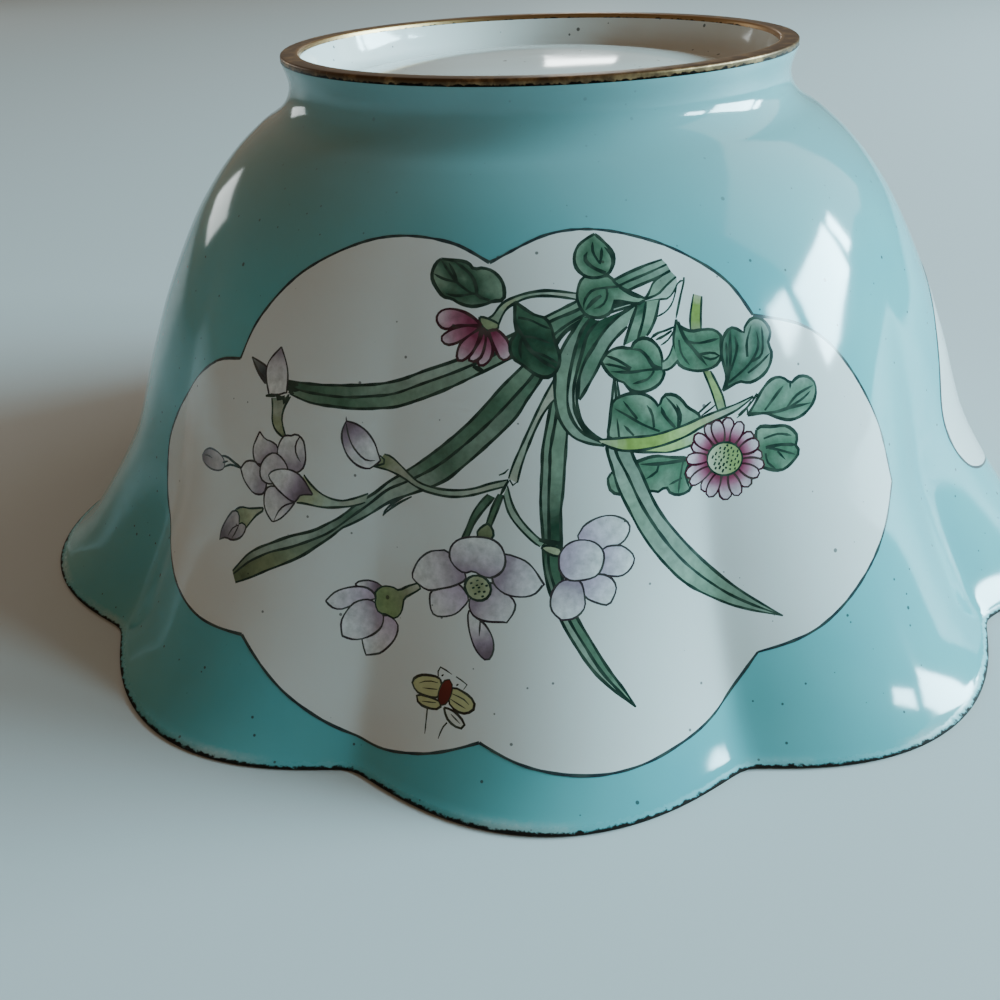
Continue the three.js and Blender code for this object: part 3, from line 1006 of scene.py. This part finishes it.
# Blades and stems of the spray: ink lines side by side, and the washes between them from end to end.
blades = {
    "long": ([
        [
            (-23.9, 39.3), (-20.5, 39.5), (-17.5, 39.8), (-12.3, 40.5), (-9.3, 41.4), (-6.8, 42.6),
            (-2.7, 44.3), (2, 46.6), (7, 49.2), (10.5, 50.8), (15.5, 53.2), (19.2, 54.5), (21.9, 55.1),
        ],
        [
            (-23.9, 38.6), (-20.5, 38.5), (-16.4, 38.6), (-13.4, 39), (-10.3, 39.6), (-6.8, 41.2),
            (-2.3, 43.2), (2, 45.4), (7.4, 48.6), (10.8, 49.9), (16, 52.4), (19.8, 53.6), (22.4, 54.4),
        ],
        [
            (-23.4, 37.9), (-20.5, 37.4), (-17.5, 37.4), (-14.4, 37.5), (-11.3, 37.9), (-9.3, 38.4),
            (-4.5, 40.6), (0, 43), (5, 45.6), (8, 47.2), (11.4, 49.2), (17, 51.7), (20.6, 52.8),
            (22.7, 53.6),
        ],
    ], [
        ("shade", "blade", "sage", "mist", "sage", "pale", "pale", "blade", "sage"),
        ("pale", "leaf", "pale", "sage", "pale", "blade", "blade", "sage"),
    ]),
    "crossing": ([
        [
            (-27.6, 17), (-26.3, 19), (-25, 20.2), (-23, 21.4), (-21, 22.5), (-18.5, 23.5), (-16.9, 24.5),
            (-15.4, 25.5), (-13.4, 27.3), (-11.7, 28.5), (-10.3, 29.8), (-8.3, 31.3), (-5.8, 33.3),
            (-3.2, 35.6), (-0.7, 38.1), (2.2, 41.5), (4.7, 44), (8, 47.2), (11.4, 49.2), (15.5, 50.4),
            (19, 50.6), (19.8, 51.8), (20.7, 52.7), (22.7, 53.5),
        ],
        [
            (-27.4, 16.7), (-25.9, 18.4), (-24.6, 19.4), (-23, 20.4), (-21.1, 21.2), (-18.9, 22.3),
            (-16.9, 23.4), (-15.6, 24.4), (-14, 25.8), (-12.3, 27.2), (-10.3, 29), (-8.2, 30.2),
            (-4.8, 32.4), (-1.9, 34.9), (1.3, 38), (4.5, 41.5), (5.6, 42.8), (8.3, 46.6), (11, 48.6),
            (15.5, 50), (20.2, 50.7), (21.7, 51.7), (23.3, 52.7),
        ],
        [
            (-26.8, 16), (-25, 17.1), (-23.4, 18.2), (-21.4, 19.4), (-19.5, 20.6), (-17.9, 21.9),
            (-16.2, 23.3), (-15.3, 24.2), (-14.2, 24.8), (-12.3, 26), (-10.3, 27.5), (-8.2, 28.7),
            (-4, 30.9), (-1.8, 32.8), (0.3, 34.8), (3.6, 38.1), (4.9, 40.1), (6.5, 42.4), (8.4, 46.3),
            (10.3, 48), (15, 49.4), (20.2, 50.2), (21.3, 50.1), (22.3, 50.5), (23.3, 51.8),
        ],
    ], [
        (
            "olive", "mist", "mist", "blade", "mist", "blade", "blade", "leaf", "pale", "blade", "blade",
            "pale", "sage",
        ),
        (
            "olive", "moss", "sage", "sage", "mist", "blade", "sage", "blade", "shade", "sage", "mist",
            "mist",
        ),
    ]),
    "upright": ([
        [
            (7.9, 42), (7.2, 38.5), (6.5, 35), (6.4, 33), (6.2, 29.5), (6.4, 26), (6.4, 23.5), (6.9, 20.8),
            (8, 17.8), (9.2, 15.5), (10.6, 13.2), (12.2, 11.3), (14.3, 9.2),
        ],
        [
            (8.4, 42), (8, 38.5), (7.3, 35), (7.2, 33), (7, 29.5), (7, 26), (6.9, 23.3), (7.6, 20.6),
            (8.8, 17.7), (10.1, 15.3), (11.7, 12.5), (14.3, 9.2),
        ],
        [
            (8.9, 42), (9.2, 38.5), (8.9, 35), (8.7, 33), (8.5, 30.7), (8.2, 28.4), (8.2, 24.9),
            (8.1, 22.5), (8.6, 20.3), (9.5, 18), (10.6, 15.9), (12, 13.2), (13.4, 10.9), (14.3, 9.2),
        ],
    ], [
        ("blade", "pale", "sage", "shade", "sage", "sage", "sage"),
        ("pale", "pale", "pale", "deep", "leaf", "blade", "blade", "pale"),
    ]),
    "rightLeaning": ([
        [
            (14.4, 42.3), (14.1, 40.3), (13.7, 38.2), (13.3, 35.6), (13.1, 34.5), (13.6, 32.5),
            (14.1, 30.4), (15.1, 28), (16.4, 25.2), (18.2, 22.3), (21, 18.9), (25, 16), (30.2, 14.2),
        ],
        [
            (14.5, 42), (14.4, 39), (14, 36), (14.1, 34), (15.1, 31.7), (16.6, 28), (19, 23.8),
            (21.8, 20.2), (25.4, 16.9), (30.2, 14.2),
        ],
        [
            (14.7, 42), (14.9, 39), (15.4, 35.6), (15.8, 33.7), (16.6, 31.7), (18, 28), (19.9, 24.9),
            (22.9, 21), (26.1, 17.6), (30.2, 14.2),
        ],
    ], [("mist", "mist", "pale", "sage", "pale", "sage"), ("mist", "sage", "sage", "pale", "sage")]),
    "curled": ([
        [
            (11.3, 49), (10.1, 47.5), (8.9, 45.7), (8.1, 43.9), (7.9, 41.9), (7.9, 40.1), (8.3, 38),
            (9.4, 36.3), (11, 35.4), (12.9, 34.9),
        ],
        [
            (12.1, 48.8), (10.9, 47.1), (10, 44.5), (9.4, 41.9), (9.2, 39.7), (9.6, 38), (10.6, 36.5),
            (12.1, 35.6), (13, 35.1),
        ],
        [
            (13.2, 48.5), (11.8, 47.1), (11.1, 45.2), (10.4, 43.2), (9.9, 41), (9.9, 39), (10.4, 37.5),
            (11.2, 36.3), (12.4, 35.6), (13.1, 35.2),
        ],
        [
            (17.7, 49.9), (15.7, 48.9), (13.9, 47.5), (12.3, 45.5), (11.2, 43.9), (10.5, 42), (10.2, 40.1),
            (10.4, 38.4), (11, 37), (12.2, 35.9), (13.1, 35.4),
        ],
    ], [
        ("leaf", "sage", "pale", "pale", "sage", "sage"), ("deep", "deep", "pale", "mist", "mist", "sage"),
        ("deep", "leaf", "leaf", "mist", "mist", "sage"),
    ]),
    "curledBack": ([
        [(17.7, 49.9), (15.7, 48.9), (13.9, 47.5), (12.3, 45.5), (11.2, 43.9), (10.5, 42), (10.4, 40)],
        [(16.4, 47.5), (14.8, 46.2), (13.7, 44.9), (12.3, 42.6), (10.5, 39.9)],
    ], [("pale", "sage", "blade", "sage")]),
    "short": ([
        [(17.8, 49.8), (16.8, 47.7), (15.8, 45.4)], [(19, 50.2), (18.4, 48.1), (17.5, 46)],
        [(20.7, 50.2), (19.9, 48.1), (19.2, 46.9), (18.6, 46.2)],
    ], [("shade", "pale", "blade"), ("pale", "pale", "leaf")]),
}
stems = {
    "tall": ([
        [(7.8, 42.2), (6.7, 40.3), (5.6, 38.1), (4.4, 35.5), (3.4, 33.2), (3, 31.9)],
        [(7.9, 40.2), (6.8, 38.9), (6.2, 37.9), (5.2, 35.7), (4.3, 33.2), (3.9, 31.5)],
    ], [("stem", "stem", "mist", "stem")]),
    "midBud": ([
        [
            (-10.9, 32.8), (-10.1, 32.7), (-9, 32), (-8, 31.3), (-6.7, 30.5), (-5.1, 30.2), (-3, 30.2),
            (-0.7, 30.6), (1.1, 31.3), (3, 31.8),
        ],
        [
            (-12.1, 31.3), (-10.3, 31.1), (-8.4, 30.6), (-7.1, 30), (-5.5, 29.6), (-3, 29.5), (-0.9, 29.9),
            (1.1, 30.6), (2.7, 31.1),
        ],
    ], [("moss", "stem", "sage", "mist", "stem", "sage")]),
    "leftFlower": ([
        [
            (-20.1, 29.4), (-19.3, 28.6), (-18.1, 27.8), (-16.8, 27.3), (-15.4, 27.2), (-13.8, 27.7),
            (-12.5, 28.3),
        ],
        [(-20.7, 26.2), (-19.7, 26.3), (-17.7, 26.2), (-16, 26.4), (-14, 26.8), (-12.8, 27.3)],
    ], [("calyx", "calyx", "mist", "stem", "sage")]),
    "upperBud": ([
        [(-25.9, 36.9), (-25.5, 35.8), (-25.4, 34.8), (-24.9, 33.7), (-23.9, 33.1), (-23.3, 32.9)],
        [(-23.2, 37.6), (-23.8, 36.4), (-24, 35.2), (-23.7, 34.2), (-23.1, 33.2)],
    ], [("sage", "stem", "moss", "calyx", "olive")]),
    "dark": ([
        [(0.9, 30.2), (-0.2, 28.9), (-0.9, 27.5), (-1.4, 26.1), (-1.8, 25.3)],
        [(1.6, 29.9), (0.4, 28.4), (-0.4, 27.2), (-1, 25.7)],
    ], [("shade", "blade", "shade", "shade")]),
    "knob": ([[(2, 30.3), (1.3, 28.8), (0.8, 27.2)], [(2.5, 30.2), (1.9, 28.6), (1.3, 27)]], [
        ("shade", "leaf", "leaf"),
    ]),
    "rightFlower": ([
        [(2.5, 30.2), (3, 28.4), (4.1, 26.9), (5.5, 25.5), (6.1, 25.1)],
        [(2.9, 31.2), (3.4, 29.3), (4.4, 27.6), (6, 25.9), (6.6, 25.5)],
    ], [("sage", "mist", "pale")]),
    "upperYellow": ([[(25.1, 50.3), (24.2, 47.7), (24, 46)], [(26.1, 49.9), (25.6, 47.9), (25.3, 46)]], [
        ("calyx", "yellow", "yellow", "moss"),
    ]),
    "lowerYellow": ([
        [(24.8, 41.4), (25.3, 39.7), (25.6, 38.4), (25.8, 37.4), (26, 36.4)],
        [(25.7, 41.2), (26.4, 39.3), (26.8, 37.9), (26.9, 36.5)],
    ], [("olive", "lime", "lime", "sage")]),
    "leafLink": ([
        [(20.1, 43), (20.6, 43.2), (21.1, 43.7), (21.6, 44.8)],
        [(20, 42.1), (21, 42.1), (21.6, 42.6), (22, 43)],
    ], [("pale", "leaf")]),
    "aster": ([
        [
            (-0.6, 49.2), (-0.3, 49), (0.4, 48.9), (1.1, 49.6), (1.8, 50.7), (2.7, 51.3), (4.2, 51.9),
            (6.2, 52.3), (8, 52.3), (11.1, 51.8),
        ],
        [
            (1.4, 47.8), (1.6, 48.2), (2, 49.3), (2.6, 50.3), (3.9, 51.1), (5.3, 51.6), (7.1, 51.7),
            (8.9, 51.5), (10.8, 51.1),
        ],
    ], [("moss", "sage", "calyx", "sage", "mist", "stem", "mist")]),
    "yellowLow": ([
        [(15.5, 34.1), (18.2, 34), (20.2, 34.2), (23.4, 35)],
        [(15.9, 33.9), (18.2, 33.5), (20.2, 33.2), (23.1, 33.5)],
    ], [("calyx", "lime", "lime", "mist")]),
    "yellow": ([
        [
            (12.3, 35.6), (15.1, 35.5), (18.2, 35.3), (20.2, 35.5), (22.3, 35.8), (25.6, 36.6), (28, 37.1),
            (30.3, 37.7),
        ],
        [
            (12.6, 35.2), (14.1, 34.4), (16, 34), (18.2, 34), (20.2, 34.2), (22.3, 34.6), (24, 35.2),
            (26.4, 35.9), (28.2, 36.5), (30.3, 37.6),
        ],
    ], [("stem", "yellow", "yellow", "lime", "calyx", "mist", "mist")]),
}

# Small green forms: outline, where the wash starts and ends, and its colours.
knobs = {
    "lowLeft": ([
        (-11.1, 17.1), (-11.2, 17.7), (-10.4, 18.4), (-9.2, 18.6), (-8.5, 18.5), (-7.5, 19.2), (-6.4, 19.8),
        (-6.4, 19.8), (-6, 19.4), (-6.9, 18.6), (-7.8, 17.8), (-7.9, 16.8), (-8.2, 16), (-8.8, 15.5),
        (-9.7, 15.6), (-10.6, 15.6), (-11.1, 16.4),
    ], (-6.5, 19.6), (-9.8, 16.8), green["stem"], green["moss"], (0.24, 0.34, 0.16)),
    "lowBud": ([
        (-24.9, 24.7), (-25.9, 24.4), (-26.9, 24.1), (-28.1, 23.9), (-29, 23.3), (-29, 23.3), (-28.3, 23),
        (-28.1, 22), (-28.1, 22), (-27.5, 22.3), (-26.9, 22), (-26.9, 22), (-26.3, 22.9), (-25.7, 23.7),
        (-24.9, 24.4),
    ], (-25, 24.5), (-28, 23), green["stem"], green["calyx"], green["moss"]),
    "mid": ([
        (0.9, 27.2), (0.1, 26.6), (-0.2, 25.9), (0.5, 25.6), (1.4, 25.7), (1.5, 26.4), (1.2, 27),
    ], (0.8, 27), (0.7, 25.8), green["moss"], green["olive"]),
    "right": ([
        (6.2, 25), (7, 25.2), (8, 24.9), (8.2, 24.4), (7.8, 24.1), (6.9, 24.4),
    ], (6.2, 25), (8.2, 24.3), green["calyx"], green["calyx"]),
}

# Petals of the half aster, from back to front
asterPetals = [
    [
        (-0.3, 48.2), (-0.3, 48.2), (-1.3, 49.1), (-2.7, 49.8), (-4.3, 50), (-5.4, 49.6), (-5.8, 48.7),
        (-5.2, 47.8), (-4.3, 47.6), (-3.6, 48), (-2.1, 48.2),
    ],
    [
        (-0.3, 48.1), (-0.3, 48.1), (-2.2, 48.1), (-3.8, 47.6), (-4.9, 46.8), (-4.9, 46.2), (-4.1, 45.8),
        (-2.7, 46.3), (-1.3, 47.3),
    ],
    [
        (0.5, 47.6), (0.5, 47.6), (1, 46.4), (2, 44.5), (3, 44.7), (3.1, 45.5), (2.7, 46.6), (2, 47.4),
        (1.4, 47.8),
    ],
    [
        (-0.3, 48), (-0.3, 48), (-1.6, 47.1), (-2.6, 46.2), (-3, 45.1), (-2.9, 44.2), (-2.2, 44.2),
        (-1.3, 45.1), (-0.6, 46.6),
    ],
    [
        (0.2, 47.6), (0.2, 47.6), (0.2, 46.2), (-0.4, 44.7), (-0.6, 43.9), (0, 43.7), (0.8, 44.4),
        (1.1, 45.5), (0.8, 46.6),
    ],
    [
        (-0.1, 48), (-0.1, 48), (-0.4, 46.6), (-1.2, 45.1), (-1.7, 44.4), (-1.1, 44.1), (-0.2, 44.7),
        (0.2, 46.2), (0.2, 47.3),
    ],
]

# Loose ink lines: points and width.
looseLines = {
    # twigs and hatching at the blades' upper ends, and the knot of the stems
    "twigs": [
        ([(24.3, 52.5), (24.1, 51.8), (23.3, 50), (22.4, 47.7)], 0.26),
        ([(23.1, 51.4), (22.3, 49.7), (21.3, 48.7), (20, 48.2)], 0.2),
        ([(23.3, 51.8), (23.8, 52.1), (24.3, 52.1)], 0.26),
        ([(22.1, 46.8), (20.9, 46.5), (19.8, 46.3), (19, 45.8)], 0.26),
        ([(21.7, 46.4), (20.6, 45.9), (19.6, 45.6)], 0.28),
        ([(21.8, 46.2), (21.1, 45.4), (20.1, 44.9)], 0.22),
        ([(25.3, 37.8), (24.4, 37.2), (23.5, 36.6)], 0.26),
        ([(25.8, 37.4), (25, 36.9), (24, 36.4)], 0.24),
        ([(30.8, 37.9), (29.7, 36.8), (28.2, 35.9)], 0.28),
        ([(29.9, 37.2), (29.2, 36.4), (28, 35.6)], 0.24),
        ([(29.4, 36.6), (29.3, 35.8)], 0.22),
        ([(6, 25.8), (7.2, 25.5), (8.1, 25.4)], 0.5),
        ([(7.9, 25.6), (8.1, 24.7)], 0.4),
        ([(3.1, 31.8), (3.5, 31.2), (3.9, 31.6)], 0.26),
        ([(2, 32.2), (2.5, 32.4), (3, 32.9)], 0.24),
        ([(-1.1, 43.6), (-0.4, 43.3), (0.2, 43.1)], 0.5),
        ([(3, 31.7), (2.6, 31), (2.2, 30.2)], 0.4),
    ],
    # the buds' sepals and thin stalks on the left
    "buds": [
        ([(-7.4, 28.8), (-8.9, 27.8), (-10.3, 26.6), (-10.8, 26)], 0.24),
        ([(-7.9, 28.9), (-9.5, 27.7), (-10.5, 26.7), (-10.8, 26)], 0.24),
        ([(-23.9, 39), (-22.4, 39.1)], 0.6),
        ([(-23.9, 38.4), (-22.2, 38.5)], 0.6),
        ([(-23.6, 38.1), (-22.8, 38)], 0.4),
        ([(-25.3, 37.5), (-24.8, 36.8), (-24.3, 37.5), (-23.9, 36.7), (-23.5, 37.8)], 0.45),
        ([(-26.9, 36.9), (-26.3, 37.1), (-25.3, 37.2)], 0.3),
        ([(-25.1, 37.3), (-24.2, 37.1)], 0.5),
        ([(-32.7, 28.3), (-31.6, 28.5), (-30.2, 28.3), (-28.9, 28.1)], 0.32),
        ([(-32.4, 27.6), (-31.4, 28.1)], 0.28),
        ([(-32, 27.2), (-31, 27.8), (-30, 28), (-29, 28)], 0.28),
        ([(-11.4, 32.6), (-10.7, 31.9), (-12.1, 31.3)], 0.24),
    ],
}

# What each panel shows of the spray. Those on the far sides are plainer.
frontSpray = {
    "stems": (
        "tall", "midBud", "leftFlower", "dark", "knob", "rightFlower", "upperBud", "upperYellow",
        "lowerYellow",
    ),
    "flowers": ("buds", "left", "lowLeft", "right", "middle"),
    "knobs": ("lowBud", "lowLeft"),
    "leaves": ("topLeft", "underAster", "neck", "crown", "tulip", "tipUp", "fan", "right", "lowRight"),
    "yellowBlade": True,
    "aster": True,
    "looseLines": ("twigs", "buds"),
    "bee": True,
}
rightSpray = {
    "stems": ("tall", "dark", "knob", "rightFlower", "upperYellow", "lowerYellow"),
    "flowers": ("right", "middle"),
    "knobs": (),
    "leaves": ("underAster", "neck", "crown", "tulip", "tipUp", "fan", "right"),
    "yellowBlade": True,
    "aster": True,
    "looseLines": ("twigs",),
    "bee": False,
}
leftSpray = {
    "stems": ("tall", "midBud", "leftFlower", "dark", "knob", "rightFlower", "upperBud"),
    "flowers": ("buds", "left", "right", "middle"),
    "knobs": ("lowBud",),
    "leaves": ("underAster", "neck", "crown", "tulip"),
    "yellowBlade": False,
    "aster": False,
    "looseLines": ("buds",),
    "bee": False,
}
leafShades = {
    "underAster": ("deep", "leaf"),
    "topLeft": ("shade", "pale"),
    "fan": ("shade", "sage"),
    "right": ("blade", "sage"),
}


def paintKnob(art, name):
    outline, start, end, *colours = knobs[name]
    paintShape(art, outline, alongTint(start, end, *colours), 0.24, ink["leaf"])


def paintEye(art, eye):
    rim = petalOutline(eye - Vector((1.33, 0)), eye + Vector((1.33, 0)), 2.5)
    art.fill(rim, nearTint([eye], 1.3, green["moss"], green["calyx"]), 0.4)
    art.stroke(rim + rim[:1], 0.3, ink["leaf"], (0.8, 0.8), 1, 0.5)
    for k in range(11):
        spot = eye + Vector((math.cos(k * 2.4), math.sin(k * 2.4))) * math.sqrt(k / 11) * 0.95
        art.stroke([spot, spot + Vector((0.25, 0.12))], 0.2, ink["leaf"], (0.9, 0.9), 2, 0.2)


def paintAster(art):
    paintRibbon(art, *stems["aster"], 0.28, dark=green["olive"])
    calyx = [(-0.6, 49.2), (-0.4, 48.3), (0.4, 47.6), (1.4, 47.8), (1.7, 48.4), (0.5, 49)]
    paintShape(art, calyx, plainTint(green["moss"]), 0.24, ink["leaf"])
    colours = (rose["deep"], rose["deep"], rose["mid"], rose["pale"])
    for outline in asterPetals:
        tip = max((Vector(point) for point in outline), key=lambda point: (point - Vector((0, 48))).length)
        paintShape(art, outline, alongTint((-0.1, 48.1), tip, *colours), 0.28, ink["aster"])


def paintSpray(art, spray):
    # blades, stems and leaves that the others cross
    paintLeaf(art, *ivyLeaves["behind"], green["leaf"], green["pale"])
    for name in ("rightLeaning", "upright", "long", "crossing", "short"):
        paintRibbon(art, *blades[name])
    for name in spray["stems"]:
        paintRibbon(art, *stems[name], 0.25, dark=green["olive"])
    for name in ("mid", "right"):
        paintKnob(art, name)
    # lilac flowers and buds
    for name in spray["flowers"]:
        paintFlower(art, name)
    for name in spray["knobs"]:
        paintKnob(art, name)
    paintEye(art, Vector((0, 20.6)))
    # the curled blade over the others, and the yellow one across it
    paintRibbon(art, *blades["curledBack"])
    paintRibbon(art, *blades["curled"])
    if spray["yellowBlade"]:
        paintRibbon(art, *stems["yellowLow"], 0.25, dark=green["yellow"])
    paintLeaf(art, *ivyLeaves["broad"], green["leaf"], green["pale"])
    if spray["yellowBlade"]:
        paintRibbon(art, *stems["yellow"], 0.28, dark=green["yellow"])
    if spray["aster"]:
        paintAster(art)
    for name in spray["leaves"]:
        dark, pale = leafShades.get(name, ("leaf", "pale"))
        paintLeaf(art, *ivyLeaves[name], green[dark], green[pale])
    paintRibbon(art, *stems["leafLink"], 0.28)
    for name in spray["looseLines"]:
        for points, width in looseLines[name]:
            art.stroke(points, width, ink["leaf"], (0.7, 0.4))
    if spray["bee"]:
        paintBee(art)
    if spray["yellowBlade"]:
        paintDaisy(art)


def borderPoints():
    outline = []
    for lobe in cartouche:
        outline += evenly(smoothLine(lobe, 10), 0.7)[:-1]
    return outline


# All the marks' corners and faces on one sheet, and the number of each face's mark.
def sheetFaces(marks):
    points, numbers, faces, markOf = [], {}, [], []
    for k, mark in enumerate(marks):
        for corners in mark[0]:
            face = []
            for corner in corners:
                key = (round(corner.x, 4), round(corner.y, 4))
                if key not in numbers:
                    numbers[key] = len(points)
                    points.append(Vector(key))
                if numbers[key] not in face:
                    face.append(numbers[key])
            if len(face) < 3:
                continue
            area = sum(points[a].cross(points[b]) for a, b in zip(face, face[1:] + face[:1]))
            faces.append(face if area > 0 else face[::-1])
            markOf.append(k)
    return points, faces, markOf


# Points strewn over the sheet, so that the skin can follow the wall's bend between its marks.
def strewnPoints(points):
    strewn = []
    dice = random.Random(7)
    low = Vector((min(p.x for p in points), min(p.y for p in points)))
    high = Vector((max(p.x for p in points), max(p.y for p in points)))
    step = sheet["spacing"]
    for row in range(int((high.y - low.y) / step) + 1):
        for column in range(int((high.x - low.x) / step) + 1):
            jitter = Vector((dice.uniform(-0.1, 0.1), dice.uniform(-0.1, 0.1)))
            strewn.append(low + Vector(((column + 0.5 * (row % 2)) * step, row * step)) + jitter)
    return strewn


def makePanel(name, panelAngle, spray):
    art = Painting()
    art.fill(borderPoints(), plainTint(enamel["white"]), 0.0)
    paintSpray(art, spray)
    for lobe in cartouche:
        art.stroke(lobe, 0.32, ink["border"], (1, 1))
    points, faces, markOf = sheetFaces(art.marks)
    points += strewnPoints(points)
    flat, _, triangles, _, _, owners = delaunay_2d_cdt(points, [], faces, 0, 1e-4)
    bm = bmesh.new()
    paint = bm.loops.layers.float_color.new("paint")
    verts = [None] * len(flat)
    for triangle, owner in zip(triangles, owners):
        if not owner:
            continue
        _, tint, streaks = art.marks[max(markOf[number] for number in owner)]
        for k in triangle:
            if verts[k] is None:
                verts[k] = bm.verts.new(onWall(flat[k].x, flat[k].y, panelAngle, sheet["lift"]))
        face = bm.faces.new([verts[k] for k in triangle])
        for loop, k in zip(face.loops, triangle):
            loop[paint] = (*tint(flat[k]), streaks)
    places = {vert: flat[k] for k, vert in enumerate(verts) if vert}
    rim = [edge for edge in bm.edges if edge.is_boundary]
    hem = bmesh.ops.extrude_edge_only(bm, edges=rim)["geom"]
    normals = {vert: wallNormal(place.x, place.y, panelAngle) for vert, place in places.items()}
    for vert in [item for item in hem if isinstance(item, bmesh.types.BMVert)]:
        twin = min((edge.other_vert(vert) for edge in vert.link_edges if edge.other_vert(vert) in normals),
                   key=lambda other: (other.co - vert.co).length)
        vert.co -= normals[twin] * sheet["skirt"]
        normals[vert] = normals[twin]
    bm.verts.index_update()
    ordered = [normals[vert] for vert in bm.verts]
    piece = pieceFrom(bm, name, [paintMaterial()])
    piece.data.normals_split_custom_set_from_vertices(ordered)
    print(name, "painted,", len(art.marks), "marks,", len(piece.data.polygons), "faces")


def paintMaterial():
    if "painted enamel" in bpy.data.materials:
        return bpy.data.materials["painted enamel"]
    material, tree, shader = startMaterial("painted enamel")
    paint = addNode(tree, "ShaderNodeAttribute", {"attribute_name": "paint"})
    streaks = mapRange(tree, noiseValue(tree, 1100, 4, 0.6), 0.25, 0.75, 0.55, 1.5)
    brushed = mixColours(tree, 1.0, paint.outputs["Color"], streaks, "MULTIPLY")
    base = mixColours(tree, paint.outputs["Alpha"], paint.outputs["Color"], brushed)
    cloud = mapRange(tree, noiseValue(tree, 60, 3), 0.3, 0.7, 0.0, 0.5)
    base = mixColours(tree, cloud, base, mixColours(tree, 1.0, base, (0.96, 0.95, 0.92), "MULTIPLY"))
    base = addSpecks(tree, base, enamel["specksInPaint"])
    tree.links.new(base, shader.inputs["Base Color"])
    tree.links.new(mapRange(tree, paint.outputs["Alpha"], 0, 1, 0.1, 0.2), shader.inputs["Roughness"])
    addBump(tree, shader, glazeRipple(tree), enamel["ripple"])
    return material


makeBowl()
makePanel("panel_front", sheet["panelAngles"][0], frontSpray)
makePanel("panel_right", sheet["panelAngles"][1], rightSpray)
makePanel("panel_left", sheet["panelAngles"][2], leftSpray)

# Studio: pale floor, a window's panes on the right, and a dim warm room around.
# Places are given as azimuth from the front towards the right and elevation, in degrees.
studio = {
    "floorSize": 6.0,
    "floorColour": (0.60, 0.64, 0.65),
    "distance": 1.2,
    "daylight": (0.50, 0.86, 1.0),
    "softDaylight": (0.92, 1, 1),
    # azimuth, elevation, width, height, power
    "panes": [(95, 18.5, 0.52, 0.27, 35.0), (111.7, 18, 0.07, 0.2, 3.5), (72.8, 23, 0.19, 0.13, 6.2)],
    "softPanes": [(108, 32, 1.0, 0.8, 4.3), (-133, 9, 0.3, 0.16, 0.5), (177, 11.5, 0.1, 0.06, 0.22)],
    "room": (0.178, 0.133, 0.088),
    "behind": (180, 25, 3, (0.15, 0.144, 0.137)),  # azimuth, elevation, sharpness, colour
}


def toward(azimuth, elevation):
    turn, rise = math.radians(azimuth), math.radians(elevation)
    return Vector((math.sin(turn) * math.cos(rise), -math.cos(turn) * math.cos(rise), math.sin(rise)))


def addPane(name, azimuth, elevation, width, height, power, colour):
    light = bpy.data.lights.new(name, "AREA")
    light.shape = "RECTANGLE"
    light.size, light.size_y = width, height
    light.energy = power
    light.color = colour
    lamp = bpy.data.objects.new(name, light)
    middle = Vector((0, 0, bowlShape["height"] / 2))
    lamp.location = middle + toward(azimuth, elevation) * studio["distance"]
    lamp.rotation_euler = (-toward(azimuth, elevation)).to_track_quat("-Z", "Y").to_euler()
    bpy.context.scene.collection.objects.link(lamp)


def makeWorld():
    world = bpy.data.worlds.new("studio")
    world.use_nodes = True
    tree = world.node_tree
    azimuth, elevation, sharpness, colour = studio["behind"]
    place = addNode(tree, "ShaderNodeTexCoord")
    facing = addNode(tree, "ShaderNodeVectorMath", {"operation": "DOT_PRODUCT"})
    tree.links.new(place.outputs["Generated"], facing.inputs[0])
    facing.inputs[1].default_value = toward(azimuth, elevation)
    share = calculate(tree, "POWER", calculate(tree, "MAXIMUM", facing.outputs["Value"], 0), sharpness)
    light = mixColours(tree, share, studio["room"], tuple(a + b for a, b in zip(studio["room"], colour)))
    tree.links.new(light, tree.nodes["Background"].inputs["Color"])
    bpy.context.scene.world = world


def makeStudio():
    bm = bmesh.new()
    bmesh.ops.create_grid(bm, x_segments=1, y_segments=1, size=studio["floorSize"] / 2)
    mesh = bpy.data.meshes.new("floor")
    bm.to_mesh(mesh)
    bm.free()
    floor = bpy.data.objects.new("floor", mesh)
    bpy.context.scene.collection.objects.link(floor)
    material, tree, shader = startMaterial("pale floor")
    shader.inputs["Base Color"].default_value = (*studio["floorColour"], 1)
    shader.inputs["Roughness"].default_value = 0.45
    mesh.materials.append(material)
    for k, pane in enumerate(studio["panes"]):
        addPane(f"window pane {k + 1}", *pane, studio["daylight"])
    for k, pane in enumerate(studio["softPanes"]):
        addPane(f"soft pane {k + 1}", *pane, studio["softDaylight"])
    makeWorld()


# The photo's camera. Its turns are in radians.
cameraView = {
    "place": (0, -0.1441, 0.0812),
    "down": 0.5398,
    "left": 0.0507,
    "lean": -0.0413,
    "lens": 36.17,
}


def makeCamera():
    data = bpy.data.cameras.new("camera")
    data.lens = cameraView["lens"]
    data.sensor_width = 36
    data.clip_start = 0.005
    camera = bpy.data.objects.new("camera", data)
    turn = Matrix.Rotation(cameraView["left"], 4, "Z")
    turn @= Matrix.Rotation(math.pi / 2 - cameraView["down"], 4, "X")
    turn @= Matrix.Rotation(cameraView["lean"], 4, "Z")
    camera.matrix_world = Matrix.Translation(cameraView["place"]) @ turn
    bpy.context.scene.collection.objects.link(camera)
    bpy.context.scene.camera = camera


makeStudio()
makeCamera()
print("studio and camera ready")
